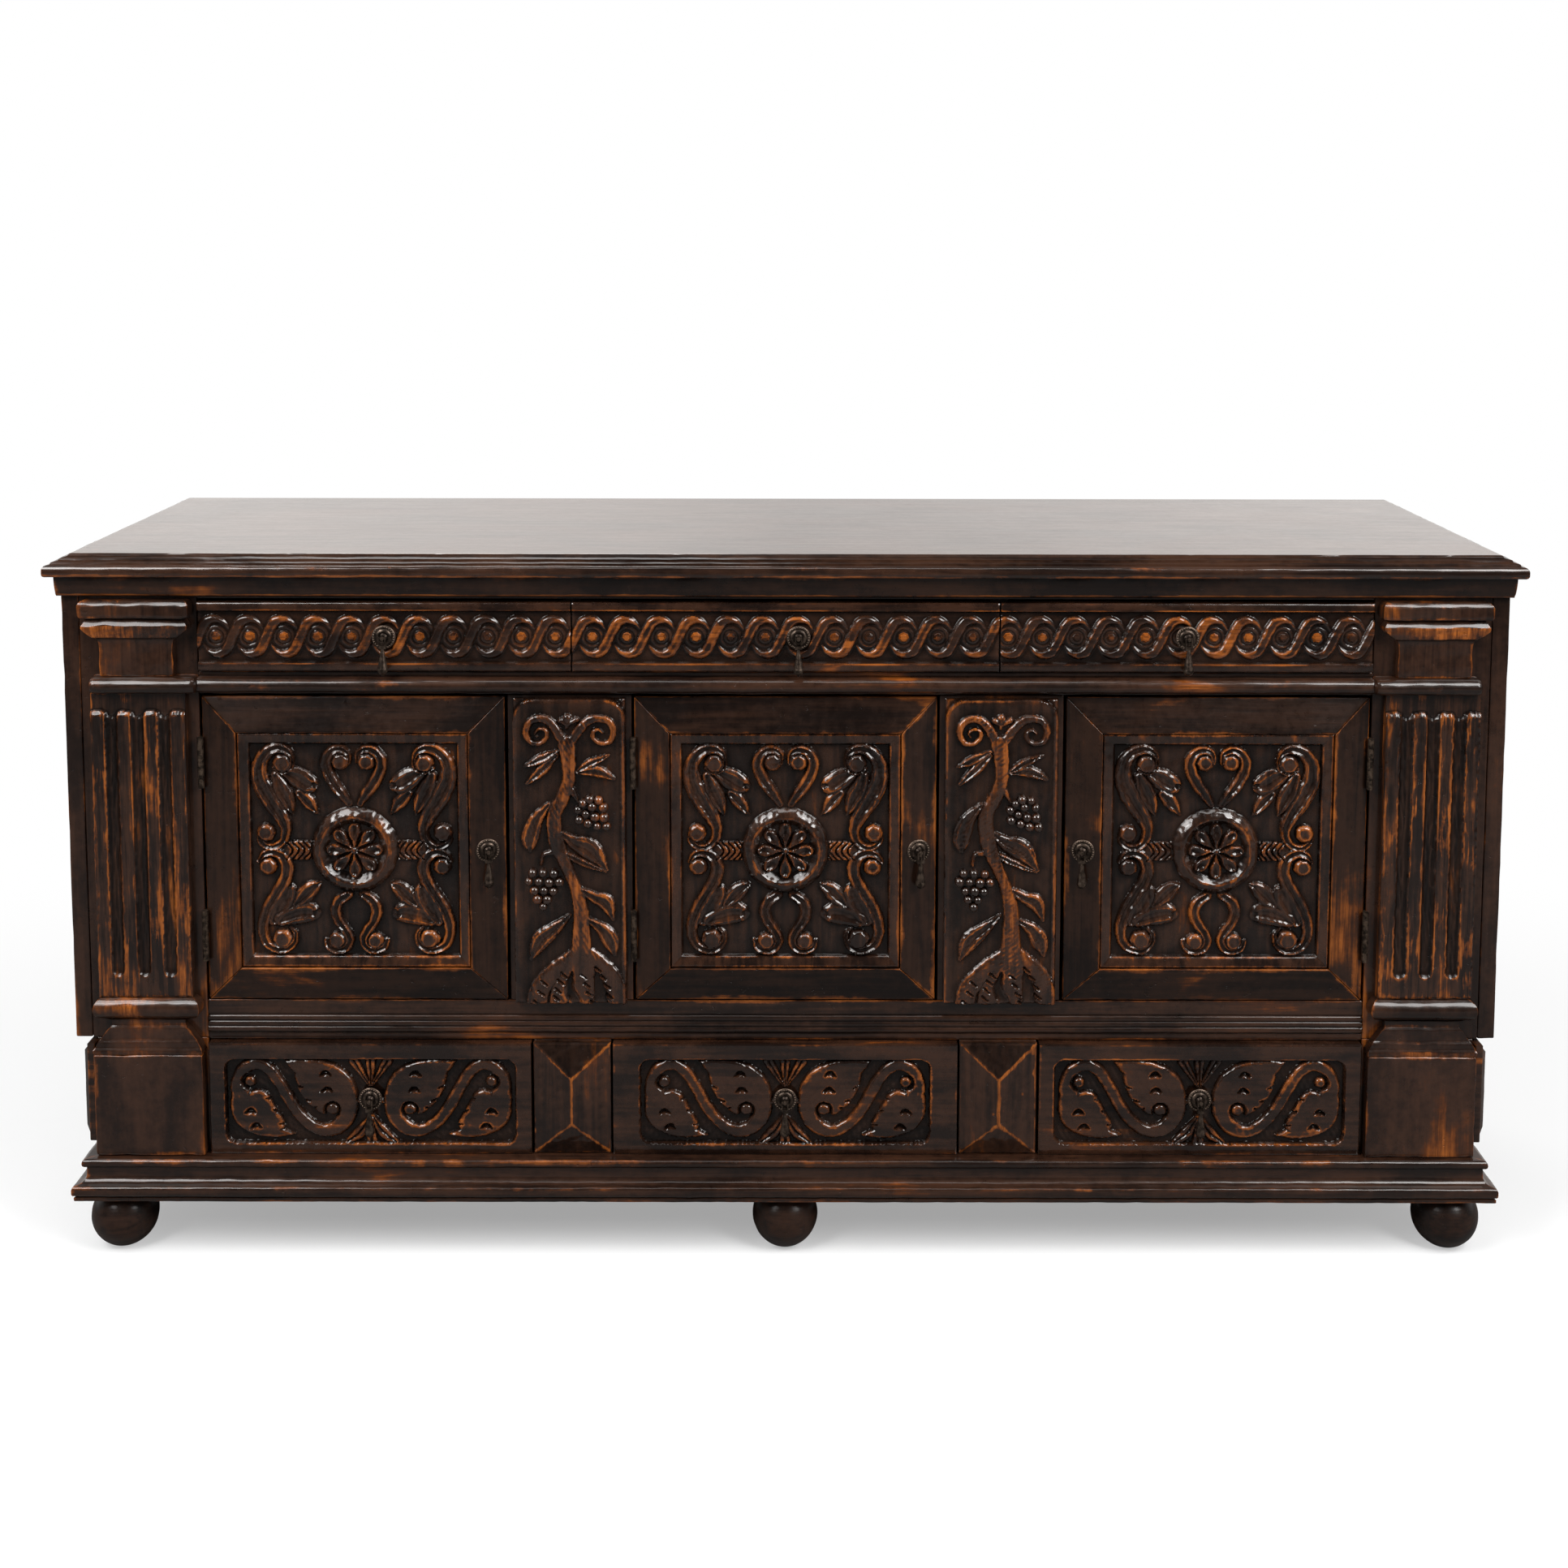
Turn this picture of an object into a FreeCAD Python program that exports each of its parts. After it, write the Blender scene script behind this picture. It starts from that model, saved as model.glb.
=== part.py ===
import FreeCAD, Part
import os

# Carved credenza, millimetres, +Z up. The origin is the middle of its footprint on the floor.
# The front faces -Y. Left and right are as seen from the front.

SIZES = {
    # Overall
    "top_width": 1830,
    "top_depth": 508,
    "total_height": 900,
    "base_projection": 12,
    # Top board and the fascia under it
    "lip_height": 14,
    "lip_round": 6.5,
    "top_step_height": 4,
    "first_step_inset": 18,
    "second_step_inset": 27,
    "flat_inset": 36,
    "fascia_height": 26,
    "fascia_setback": 12,
    "fascia_side_inset": 10,
    "rail_reveal": 5,
    # Boards of the case
    "side_inset": 13,
    "lower_side_inset": 40,
    "upper_side_drop": 50,
    "side_board": 22,
    "frame_board": 22,
    "partition_board": 22,
    "deck_board": 16,
    "back_board": 10,
    "frame_setback": 28,
    # Heights of the bands of the front, from the floor up
    "foot_height": 78,
    "base_height": 50,
    "lower_opening": 147,
    "mid_rail_height": 52,
    "torus_rail_height": 30,
    "upper_opening": 91,
    # Widths across the front
    "corner_width": 182,
    "panel_stile_width": 155.5,
    "door_gap": 3,
    "door_top_gap": 1.5,
    # Rails
    "torus_setback": 22,
    "torus_radius": 10,
    "torus_rise": 3,
    "reed_radius": 3.8,
    "reed_pitch": 7.6,
    "reed_rise": 13,
    # Carved panels beside the middle door
    "vine_panel_width": 141,
    "vine_panel_thickness": 12,
    "vine_corner_round": 30,
    "vine_panel_gap": 4,
    # Pilasters
    "shaft_reveal": 15,
    "shaft_width": 118,
    "shaft_setback": 14,
    "flute_radius": 7.5,
    "flute_depth": 4,
    "flute_pitch": 33,
    "flute_end_gap": 30,
    "astragal_width": 132,
    "astragal_radius": 11,
    "astragal_setback": 4,
    "capital_width": 138,
    "capital_setback": 8,
    "abacus_height": 19,
    "capital_slab_inset": 3,
    "capital_slab_height": 15,
    "capital_bevel_height": 14,
    "capital_neck_width": 92,
    "capital_neck_setback": 17,
    "torus_base_width": 136,
    "torus_base_radius": 14.5,
    "torus_base_setback": 6,
    "torus_base_rise": 8,
    "base_neck_width": 94,
    "base_neck_height": 11,
    "base_neck_setback": 15,
    "cap_height": 17,
    "cap_step_width": 124,
    "cap_step_setback": 12,
    "cap_top_width": 100,
    "pedestal_width": 139,
    "pedestal_setback": 10,
    # Lower blocks between the drawers
    "block_width": 98,
    "block_gap": 1,
    "block_setback": 19,
    "block_rise": 13,
    "block_ridge_length": 58,
    "block_ridge_width": 2,
    # Raised panels on the lower sides
    "side_step_thickness": 9.5,
    "side_field_thickness": 8.5,
    "side_step_setback": 18,
    "side_step_end": 24,
    "side_step_foot": 17,
    "side_step_head": 4,
    "side_field_inset": 6,
    "side_field_bevel": 8,
    # Base moulding and feet
    "base_side_inset": 15,
    "base_frame_width": 60,
    "bead_height": 10,
    "bead_inset": 10,
    "bead_round": 4.5,
    "base_recess_height": 7,
    "base_recess_inset": 15,
    "base_cove_height": 14,
    "base_cove_inset": 4,
    "base_lip_height": 12,
    "base_lip_round": 5,
    "base_groove_height": 2,
    "base_groove_inset": 4,
    "ball_diameter": 84,
    "ball_flat": 2,
    "collar_diameter": 56,
    "collar_height": 6,
    "foot_setback": 52,
    "foot_side_inset": 50,
    # Doors
    "door_frame_width": 45,
    "door_edge_setback": 26,
    "door_edge_thickness": 20,
    "door_frame_rise": 12,
    "sticking_width": 15,
    "sticking_rise": 3,
    "sticking_slope": 4,
    "door_panel_setback": 24,
    "door_panel_board": 10,
    # Drawers
    "middle_drawer_width": 531,
    "drawer_joint": 2,
    "drawer_edge_gap": 2,
    "upper_front_top_gap": 3,
    "drawer_bottom_gap": 0.5,
    "upper_front_setback": 20,
    "lower_front_setback": 16,
    "drawer_front_thickness": 18,
    "front_field_rise": 2,
    "front_field_inset": 10,
    "drawer_side_board": 12,
    "drawer_bottom_board": 8,
    "drawer_bottom_lift": 4,
    "drawer_rear_gap": 60,
    "upper_box_height": 78,
    "lower_box_height": 120,
    "drawer_side_gap": 6,
    "guide_gap": 1,
    "guide_width": 20,
    "guide_height": 20,
    # Shelves in the cupboards
    "shelf_level": 520,
    "shelf_board": 16,
    "shelf_setback": 62,
    "cleat_width": 12,
    # Hinges
    "hinge_height": 65,
    "hinge_end_gap": 52,
    "hinge_setback": 22,
    "knuckle_radius": 4,
    "hinge_pin_radius": 1.6,
    "hinge_clearance": 0.05,
    "knuckle_gap": 0.3,
    "leaf_thickness": 1.3,
    # Pendant pulls
    "plate_radius": 15,
    "plate_thickness": 2,
    "boss_radius": 6,
    "boss_thickness": 2,
    "post_radius": 2.6,
    "post_reach": 9,
    "pull_pin_radius": 1.2,
    "pull_clearance": 0.06,
    "cheek_gap": 0.3,
    "cheek_thickness": 1.6,
    "cheek_depth": 4,
    "cheek_length": 9,
    "bridge_height": 4,
    "neck_radius": 1.9,
    "drop_neck_length": 26,
    "bulb_radius": 6.4,
    "tip_radius": 2,
    "middle_pull_offset": 16,
}

KNUCKLES = 5
FLUTES = 3
REEDS = 3

doc = FreeCAD.newDocument("Credenza")
sheet = doc.addObject("Spreadsheet::Sheet", "Sizes")
for row, (alias, value) in enumerate(SIZES.items(), start=1):
    sheet.set(f"A{row}", alias)
    sheet.set(f"B{row}", str(value))
    sheet.setAlias(f"B{row}", alias)
doc.recompute()

subparts = []


class Length:
    """A length kept as the text of an expression in the sheet's aliases."""

    def __init__(self, text):
        self.text = text

    def __add__(self, other):
        return Length(f"({self.text} + {written(other)})")

    def __sub__(self, other):
        return Length(f"({self.text} - {written(other)})")

    def __mul__(self, other):
        return Length(f"({self.text} * {written(other)})")

    def __truediv__(self, other):
        return Length(f"({self.text} / {written(other)})")

    def __neg__(self):
        return Length(f"(0 - {self.text})")


class Sheet:
    """Gives each alias of the sheet as a Length."""

    def __getattr__(self, alias):
        return Length(f"Sizes.{alias}")


def written(value):
    return value.text if isinstance(value, Length) else str(value)


S = Sheet()
ZERO = Length("0")
X_AXIS = FreeCAD.Vector(1, 0, 0)
Y_AXIS = FreeCAD.Vector(0, 1, 0)
Z_AXIS = FreeCAD.Vector(0, 0, 1)
UPRIGHT = FreeCAD.Rotation(X_AXIS, 90)
FORWARD = FreeCAD.Rotation(X_AXIS, 180)
SIDEWAYS = FreeCAD.Rotation(Z_AXIS, -90)
ALONG_X = FreeCAD.Rotation(Y_AXIS, 90)
ALONG_Y = FreeCAD.Rotation(X_AXIS, 90)
LEVEL = FreeCAD.Rotation()


# Places shared by several pieces
half_width = S.top_width / 2
back_y = (S.top_depth + S.base_projection) / 2
lip_y = back_y - S.top_depth
frame_y = lip_y + S.frame_setback
frame_back_y = frame_y + S.frame_board
inner_back_y = back_y - S.back_board

base_z = S.foot_height
deck_z = base_z + S.base_height
mid_rail_z = deck_z + S.lower_opening
door_low_z = mid_rail_z + S.mid_rail_height
top_under_z = S.total_height - S.top_step_height * 3 - S.lip_height
fascia_z = top_under_z - S.fascia_height
upper_top_z = fascia_z - S.rail_reveal
upper_z = upper_top_z - S.upper_opening
door_high_z = upper_z - S.torus_rail_height
upper_side_z = door_low_z - S.upper_side_drop
floor_z = door_low_z - S.deck_board
dust_z = upper_z - S.deck_board

case_half = half_width - S.side_inset
case_inner = case_half - S.side_board
lower_half = half_width - S.lower_side_inset
lower_inner = lower_half - S.side_board
corner_x = half_width - S.corner_width
door_width = (corner_x * 2 - S.panel_stile_width * 2 - S.door_gap * 6) / 3
panel_stile_x = door_width / 2 + S.door_gap
partition_x = panel_stile_x + S.panel_stile_width / 2
outer_door_x = panel_stile_x + S.panel_stile_width + S.door_gap
pilaster_x = corner_x + S.shaft_reveal + S.shaft_width / 2
block_edge_x = partition_x - S.block_width / 2
block_far_x = partition_x + S.block_width / 2
upper_joint_x = (S.middle_drawer_width + S.drawer_joint) / 2
partition_half = S.partition_board / 2


def bind(piece, **links):
    for name, value in links.items():
        piece.setExpression(name.replace("_", "."), written(value))


def place(piece, x, y, z, turn=LEVEL):
    piece.Placement = FreeCAD.Placement(FreeCAD.Vector(), turn)
    bind(piece, Placement_Base_x=x, Placement_Base_y=y, Placement_Base_z=z)
    return piece


def box(x, y, z):
    """A board between two x, two y and two z places."""
    board = doc.addObject("Part::Box", "board")
    bind(board, Length=x[1] - x[0], Width=y[1] - y[0], Height=z[1] - z[0])
    return place(board, x[0], y[0], z[0])


def cylinder(radius, length, x, y, z, turn=LEVEL):
    rod = doc.addObject("Part::Cylinder", "rod")
    bind(rod, Radius=radius, Height=length)
    return place(rod, x, y, z, turn)


def sphere(radius, x, y, z):
    ball = doc.addObject("Part::Sphere", "ball")
    bind(ball, Radius=radius)
    return place(ball, x, y, z)


def tapered(start, end, length, x, y, z, turn):
    """A block whose section goes from start to end: each is its low and high across and deep."""
    block = doc.addObject("Part::Wedge", "taper")
    bind(block, Ymin=ZERO, Ymax=length)
    bind(block, Xmin=start[0], Xmax=start[1], Zmin=start[2], Zmax=start[3])
    bind(block, X2min=end[0], X2max=end[1], Z2min=end[2], Z2max=end[3])
    return place(block, x, y, z, turn)


def fuse(*pieces):
    whole = doc.addObject("Part::MultiFuse", "joined")
    whole.Shapes = list(pieces)
    whole.Refine = True
    return whole


def cut(base, tool):
    rest = doc.addObject("Part::Cut", "cut")
    rest.Base = base
    rest.Tool = tool
    return rest


def common(base, tool):
    shared = doc.addObject("Part::Common", "shared")
    shared.Base = base
    shared.Tool = tool
    return shared


def mirrored(source):
    """The same piece on the other side of the middle of the case."""
    copy = doc.addObject("Part::Mirroring", "mirrored")
    copy.Source = source
    copy.Normal = X_AXIS
    return copy


def both_sides(*pieces):
    return [*pieces, *(mirrored(piece) for piece in pieces)]


def rounded(base, radius, chosen):
    """Rounds the edges of base that the test chosen picks."""
    doc.recompute()
    round_size = sheet.get(radius)
    rows = []
    for number, edge in enumerate(base.Shape.Edges, start=1):
        if chosen(edge):
            rows.append((number, round_size, round_size))
    fillet = doc.addObject("Part::Fillet", "rounded")
    fillet.Base = base
    fillet.Edges = rows
    return fillet


def subpart(label, *pieces):
    """Names a finished sub-part. Several separate pieces stay separate solids in it."""
    if len(pieces) == 1:
        whole = pieces[0]
    else:
        whole = doc.addObject("Part::Compound", "group")
        whole.Links = list(pieces)
    whole.Label = label
    subparts.append(whole)
    return whole


def is_level(edge):
    box_of_edge = edge.BoundBox
    return box_of_edge.ZLength < TOLERANCE


def lies_along_x(edge):
    box_of_edge = edge.BoundBox
    return box_of_edge.YLength < TOLERANCE and box_of_edge.ZLength < TOLERANCE


TOLERANCE = 1e-6


def stepped_slab(half, front_y, inset, low_z, high_z):
    """A slab drawn in by inset at the front and both sides. Its back stays flush."""
    return box((-(half - inset), half - inset), (front_y + inset, back_y), (low_z, high_z))


# Top board
def make_top_board():
    lip_top_z = top_under_z + S.lip_height
    lip = stepped_slab(half_width, lip_y, ZERO, top_under_z, lip_top_z)
    doc.recompute()
    back_place = lip.Shape.BoundBox.YMax
    nose = rounded(lip, "lip_round", lambda edge: (
        is_level(edge) and edge.BoundBox.YMin < back_place - TOLERANCE))
    steps = []
    low_z = lip_top_z
    for inset in (S.first_step_inset, S.second_step_inset, S.flat_inset):
        high_z = low_z + S.top_step_height
        steps.append(stepped_slab(half_width, lip_y, inset, low_z, high_z))
        low_z = high_z
    subpart("top_board", fuse(nose, *steps))


# Fascia under the top board
def make_fascia():
    fascia_half = half_width - S.fascia_side_inset
    band = (fascia_z, top_under_z)
    front = box((-fascia_half, fascia_half), (lip_y + S.fascia_setback, frame_y), band)
    side = box((case_half, fascia_half), (frame_y, back_y), band)
    subpart("fascia_moulding", front, *both_sides(side))


# Side boards of the upper case
def make_side_panels():
    board = box((case_inner, case_half), (frame_y, back_y), (upper_side_z, top_under_z))
    subpart("side_panels", *both_sides(board))


# Face frame: corner stiles, stiles beside the middle door, dividers and the top rail
def make_face_frame():
    depth = (frame_y, frame_back_y)
    top_rail = box((-corner_x, corner_x), depth, (upper_top_z, top_under_z))
    corner = box((corner_x, case_inner), depth, (upper_side_z, top_under_z))
    lower_corner = box((corner_x, lower_half), depth, (deck_z, upper_side_z))
    stile_far_x = panel_stile_x + S.panel_stile_width
    panel_stile = box((panel_stile_x, stile_far_x), depth, (door_low_z, door_high_z))
    lower_stile = box((block_edge_x, block_far_x), depth, (deck_z, mid_rail_z))
    divider_y = lip_y + S.upper_front_setback + S.drawer_front_thickness
    divider = box((upper_joint_x - partition_half, upper_joint_x + partition_half),
                  (divider_y, frame_back_y), (upper_z, upper_top_z))
    pairs = both_sides(corner, lower_corner, panel_stile, lower_stile, divider)
    subpart("face_frame", top_rail, *pairs)


# Half-round rail below the upper drawers, which steps forward across each pilaster
def make_torus_rail():
    board = box((-corner_x, corner_x), (frame_y, frame_back_y), (door_high_z, upper_z))
    roll_z = door_high_z + S.torus_rise + S.torus_radius
    roll_y = lip_y + S.torus_setback
    roll = cylinder(S.torus_radius, corner_x * 2, -corner_x, roll_y, roll_z, ALONG_X)
    bed = box((-corner_x, corner_x), (roll_y, frame_y),
              (roll_z - S.torus_radius, roll_z + S.torus_radius))
    half = S.astragal_width / 2
    nose_y = lip_y + S.astragal_setback + S.astragal_radius
    nose_z = door_high_z + S.torus_rise + S.astragal_radius
    nose = cylinder(S.astragal_radius, S.astragal_width, pilaster_x - half, nose_y, nose_z, ALONG_X)
    body = box((pilaster_x - half, pilaster_x + half), (nose_y, frame_y),
               (nose_z - S.astragal_radius, nose_z + S.astragal_radius))
    subpart("torus_rail", fuse(board, bed, roll), *both_sides(fuse(nose, body)))


# Rail between the doors and the lower drawers, with three reeds along it
def make_mid_rail():
    board = box((-corner_x, corner_x), (frame_y, frame_back_y), (mid_rail_z, door_low_z))
    reeds = []
    for index in range(REEDS):
        reed_z = mid_rail_z + S.reed_rise + S.reed_pitch * index
        reeds.append(cylinder(S.reed_radius, corner_x * 2, -corner_x, frame_y, reed_z, ALONG_X))
    subpart("reeded_mid_rail", fuse(board, *reeds))


# Carved panels on the stiles beside the middle door
def make_vine_panels():
    half = S.vine_panel_width / 2
    board = box((partition_x - half, partition_x + half),
                (frame_y - S.vine_panel_thickness, frame_y),
                (door_low_z, door_high_z - S.vine_panel_gap))
    doc.recompute()
    top_place = board.Shape.BoundBox.ZMax
    panel = rounded(board, "vine_corner_round", lambda edge: (
        edge.BoundBox.YLength > TOLERANCE and edge.BoundBox.XLength < TOLERANCE
        and edge.BoundBox.ZLength < TOLERANCE and edge.BoundBox.ZMin > top_place - TOLERANCE))
    subpart("vine_panels", *both_sides(panel))


# Blocks between the lower drawers, each a low roof with an upright ridge
def make_diamond_blocks():
    low_z = deck_z + S.block_gap
    high_z = mid_rail_z - S.block_gap
    block_y = lip_y + S.block_setback
    base = box((block_edge_x, block_far_x), (block_y, frame_y), (low_z, high_z))
    half = S.block_width / 2
    tall = (high_z - low_z) / 2
    ridge = S.block_ridge_width / 2
    length = S.block_ridge_length / 2
    roof = tapered((-half, half, -tall, tall), (-ridge, ridge, -length, length),
                   S.block_rise, partition_x, block_y, low_z + tall, FORWARD)
    subpart("diamond_blocks", *both_sides(fuse(base, roof)))


def across(width):
    return (-(width / 2), width / 2)


# Pilaster capitals
def make_capitals():
    top_z = upper_top_z
    slab_z = top_z - S.abacus_height
    bevel_z = slab_z - S.capital_slab_height
    neck_z = bevel_z - S.capital_bevel_height
    foot_z = door_high_z + S.torus_rise + S.astragal_radius * 2
    half = S.capital_width / 2
    abacus = box((pilaster_x - half, pilaster_x + half),
                 (lip_y + S.capital_setback, frame_y), (slab_z, top_z))
    slab_half = half - S.capital_slab_inset
    slab_y = lip_y + S.capital_setback + S.capital_slab_inset
    slab = box((pilaster_x - slab_half, pilaster_x + slab_half), (slab_y, frame_y), (bevel_z, slab_z))
    neck_half = S.capital_neck_width / 2
    neck_y = lip_y + S.capital_neck_setback
    bevel = tapered((-neck_half, neck_half, ZERO, frame_y - neck_y),
                    (-slab_half, slab_half, ZERO, frame_y - slab_y),
                    S.capital_bevel_height, pilaster_x, frame_y, neck_z, UPRIGHT)
    neck = box((pilaster_x - neck_half, pilaster_x + neck_half), (neck_y, frame_y), (foot_z, neck_z))
    subpart("pilaster_capitals", *both_sides(fuse(abacus, slab, bevel, neck)))


# Fluted pilaster shafts
def make_shafts():
    low_z = mid_rail_z + S.mid_rail_height + S.torus_base_rise
    high_z = door_high_z + S.torus_rise
    half = S.shaft_width / 2
    shaft_y = lip_y + S.shaft_setback
    shaft = box((pilaster_x - half, pilaster_x + half), (shaft_y, frame_y), (low_z, high_z))
    flute_y = shaft_y - S.flute_radius + S.flute_depth
    flute_low_z = low_z + S.flute_end_gap
    flute_high_z = high_z - S.flute_end_gap
    flutes = []
    for index in range(FLUTES):
        flute_x = pilaster_x + S.flute_pitch * (index - (FLUTES - 1) / 2)
        flutes.append(cylinder(S.flute_radius, flute_high_z - flute_low_z,
                               flute_x, flute_y, flute_low_z))
        flutes.append(sphere(S.flute_radius, flute_x, flute_y, flute_low_z))
    subpart("fluted_shafts", *both_sides(cut(shaft, fuse(*flutes))))


# Pilaster bases: a cushion with round ends, a neck and a two-step cap
def make_pilaster_bases():
    roll_top_z = door_low_z + S.torus_base_rise
    roll_z = roll_top_z - S.torus_base_radius
    roll_low_z = roll_z - S.torus_base_radius
    roll_y = lip_y + S.torus_base_setback + S.torus_base_radius
    half = S.torus_base_width / 2 - S.torus_base_radius
    roll = cylinder(S.torus_base_radius, half * 2, pilaster_x - half, roll_y, roll_z, ALONG_X)
    ends = [sphere(S.torus_base_radius, end_x, roll_y, roll_z)
            for end_x in (pilaster_x - half, pilaster_x + half)]
    bed = box((pilaster_x - half, pilaster_x + half), (roll_y, frame_y), (roll_low_z, roll_top_z))
    in_front = box((corner_x, lower_half), (lip_y, frame_y), (roll_low_z, roll_top_z))
    cushion = common(fuse(roll, *ends, bed), in_front)
    neck_half = S.base_neck_width / 2
    neck_low_z = roll_low_z - S.base_neck_height
    neck_y = lip_y + S.base_neck_setback
    neck = box((pilaster_x - neck_half, pilaster_x + neck_half), (neck_y, frame_y),
               (neck_low_z, roll_low_z))
    step_z = neck_low_z - S.cap_height
    foot_z = step_z - S.cap_height
    middle_x = lower_half - S.pedestal_width / 2
    step_y = lip_y + S.cap_step_setback
    upper_cap = tapered((*across(S.cap_step_width), ZERO, frame_y - step_y),
                        (*across(S.cap_top_width), ZERO, frame_y - neck_y),
                        S.cap_height, middle_x, frame_y, step_z, UPRIGHT)
    lower_cap = tapered((*across(S.pedestal_width), ZERO, S.frame_setback - S.pedestal_setback),
                        (*across(S.cap_step_width), ZERO, frame_y - step_y),
                        S.cap_height, middle_x, frame_y, foot_z, UPRIGHT)
    subpart("pilaster_bases", *both_sides(fuse(cushion, neck, upper_cap, lower_cap)))


# Square pedestals under the pilasters
def make_pedestals():
    high_z = (door_low_z + S.torus_base_rise - S.torus_base_radius * 2
              - S.base_neck_height - S.cap_height * 2)
    block = box((lower_half - S.pedestal_width, lower_half),
                (lip_y + S.pedestal_setback, frame_y), (deck_z, high_z))
    subpart("pedestals", *both_sides(block))


# Sides of the lower case, each with a stepped panel raised on it
def make_lower_sides():
    board = box((lower_inner, lower_half), (frame_back_y, back_y), (deck_z, floor_z))
    step_y = lip_y + S.side_step_setback
    step_back_y = back_y - S.side_step_end
    step_low_z = deck_z + S.side_step_foot
    step_high_z = upper_side_z - S.side_step_head
    step_x = lower_half + S.side_step_thickness
    step = box((lower_half, step_x), (step_y, step_back_y), (step_low_z, step_high_z))
    deep = (step_back_y - step_y) / 2 - S.side_field_inset
    tall = (step_high_z - step_low_z) / 2 - S.side_field_inset
    bevel = S.side_field_bevel
    field = tapered((-deep, deep, -tall, tall),
                    (-(deep - bevel), deep - bevel, -(tall - bevel), tall - bevel),
                    S.side_field_thickness, step_x, (step_y + step_back_y) / 2,
                    (step_low_z + step_high_z) / 2, SIDEWAYS)
    subpart("lower_sides", *both_sides(board, fuse(step, field)))


# Base moulding, a frame with a bead, a cove and a lip
def make_base_moulding():
    half = half_width - S.base_side_inset
    front_y = lip_y - S.base_projection
    bead_z = deck_z - S.bead_height
    recess_z = bead_z - S.base_recess_height
    cove_z = recess_z - S.base_cove_height
    lip_z = cove_z - S.base_lip_height
    groove_z = lip_z - S.base_groove_height

    def round_all(slab, radius):
        doc.recompute()
        back_place = slab.Shape.BoundBox.YMax
        return rounded(slab, radius, lambda edge: (
            is_level(edge) and edge.BoundBox.YMin < back_place - TOLERANCE))

    bead = round_all(stepped_slab(half, front_y, S.bead_inset, bead_z, deck_z), "bead_round")
    recess = stepped_slab(half, front_y, S.base_recess_inset, recess_z, bead_z)
    cove_top = half - S.base_recess_inset
    cove_foot = half - S.base_cove_inset
    cove = tapered((-cove_foot, cove_foot, ZERO, back_y - front_y - S.base_cove_inset),
                   (-cove_top, cove_top, ZERO, back_y - front_y - S.base_recess_inset),
                   S.base_cove_height, ZERO, back_y, cove_z, UPRIGHT)
    lip = round_all(stepped_slab(half, front_y, ZERO, lip_z, cove_z), "base_lip_round")
    groove = stepped_slab(half, front_y, S.base_groove_inset, groove_z, lip_z)
    foot_lip = stepped_slab(half, front_y, S.base_groove_inset / 2, base_z, groove_z)
    inner = half - S.base_frame_width
    hole = box((-inner, inner), (front_y + S.base_frame_width, back_y - S.base_frame_width),
               (base_z, deck_z))
    subpart("base_moulding", cut(fuse(bead, recess, cove, lip, groove, foot_lip), hole))


# Ball feet with a flat under each and a collar on top
def make_feet():
    radius = S.ball_diameter / 2
    ball_z = radius - S.ball_flat
    collar_z = base_z - S.collar_height
    foot_x = half_width - S.base_side_inset - S.foot_side_inset
    front_foot_y = lip_y - S.base_projection + S.foot_setback
    back_foot_y = back_y - S.foot_setback

    def foot(x, y):
        ball = common(sphere(radius, x, y, ball_z), cylinder(radius, collar_z, x, y, ZERO))
        return fuse(ball, cylinder(S.collar_diameter / 2, S.collar_height, x, y, collar_z))

    feet = [foot(x, y) for y in (front_foot_y, back_foot_y) for x in (-foot_x, ZERO, foot_x)]
    subpart("ball_feet", *feet)


# Decks: case bottom, cupboard floor and the board that the upper drawers run on
def make_decks():
    base_inner = half_width - S.base_side_inset - S.base_frame_width
    base_inner_y = lip_y - S.base_projection + S.base_frame_width
    bottom = box((-base_inner, base_inner), (base_inner_y, back_y - S.base_frame_width),
                 (deck_z - S.deck_board, deck_z))
    floor = box((-case_inner, case_inner), (frame_back_y, inner_back_y), (floor_z, door_low_z))
    dust = box((-case_inner, case_inner), (frame_back_y, inner_back_y), (dust_z, upper_z))
    subpart("case_decks", bottom, floor, dust)


# Back boards
def make_back():
    upper = box((-case_inner, case_inner), (inner_back_y, back_y), (floor_z, top_under_z))
    lower = box((-lower_inner, lower_inner), (inner_back_y, back_y), (deck_z, floor_z))
    subpart("back_boards", upper, lower)


# Upright partitions between the compartments
def make_partitions():
    depth = (frame_back_y, inner_back_y)
    upper = box((upper_joint_x - partition_half, upper_joint_x + partition_half), depth,
                (upper_z, top_under_z))
    cupboard = box((partition_x - partition_half, partition_x + partition_half), depth,
                   (door_low_z, dust_z))
    lower = box((partition_x - partition_half, partition_x + partition_half), depth,
                (deck_z, floor_z))
    subpart("partitions", *both_sides(upper, cupboard, lower))


# One shelf in each cupboard, on cleats
def make_shelves():
    depth = (lip_y + S.shelf_setback, inner_back_y)
    band = (S.shelf_level, S.shelf_level + S.shelf_board)
    cleat_band = (S.shelf_level - S.cleat_width, S.shelf_level)
    inner = partition_x - partition_half
    outer = partition_x + partition_half
    side_shelf = box((outer, case_inner), depth, band)
    middle_shelf = box((-inner, inner), depth, band)
    cleats = [box((inner - S.cleat_width, inner), depth, cleat_band),
              box((outer, outer + S.cleat_width), depth, cleat_band),
              box((case_inner - S.cleat_width, case_inner), depth, cleat_band)]
    subpart("shelves", middle_shelf, *both_sides(side_shelf))
    return both_sides(*cleats)


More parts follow.
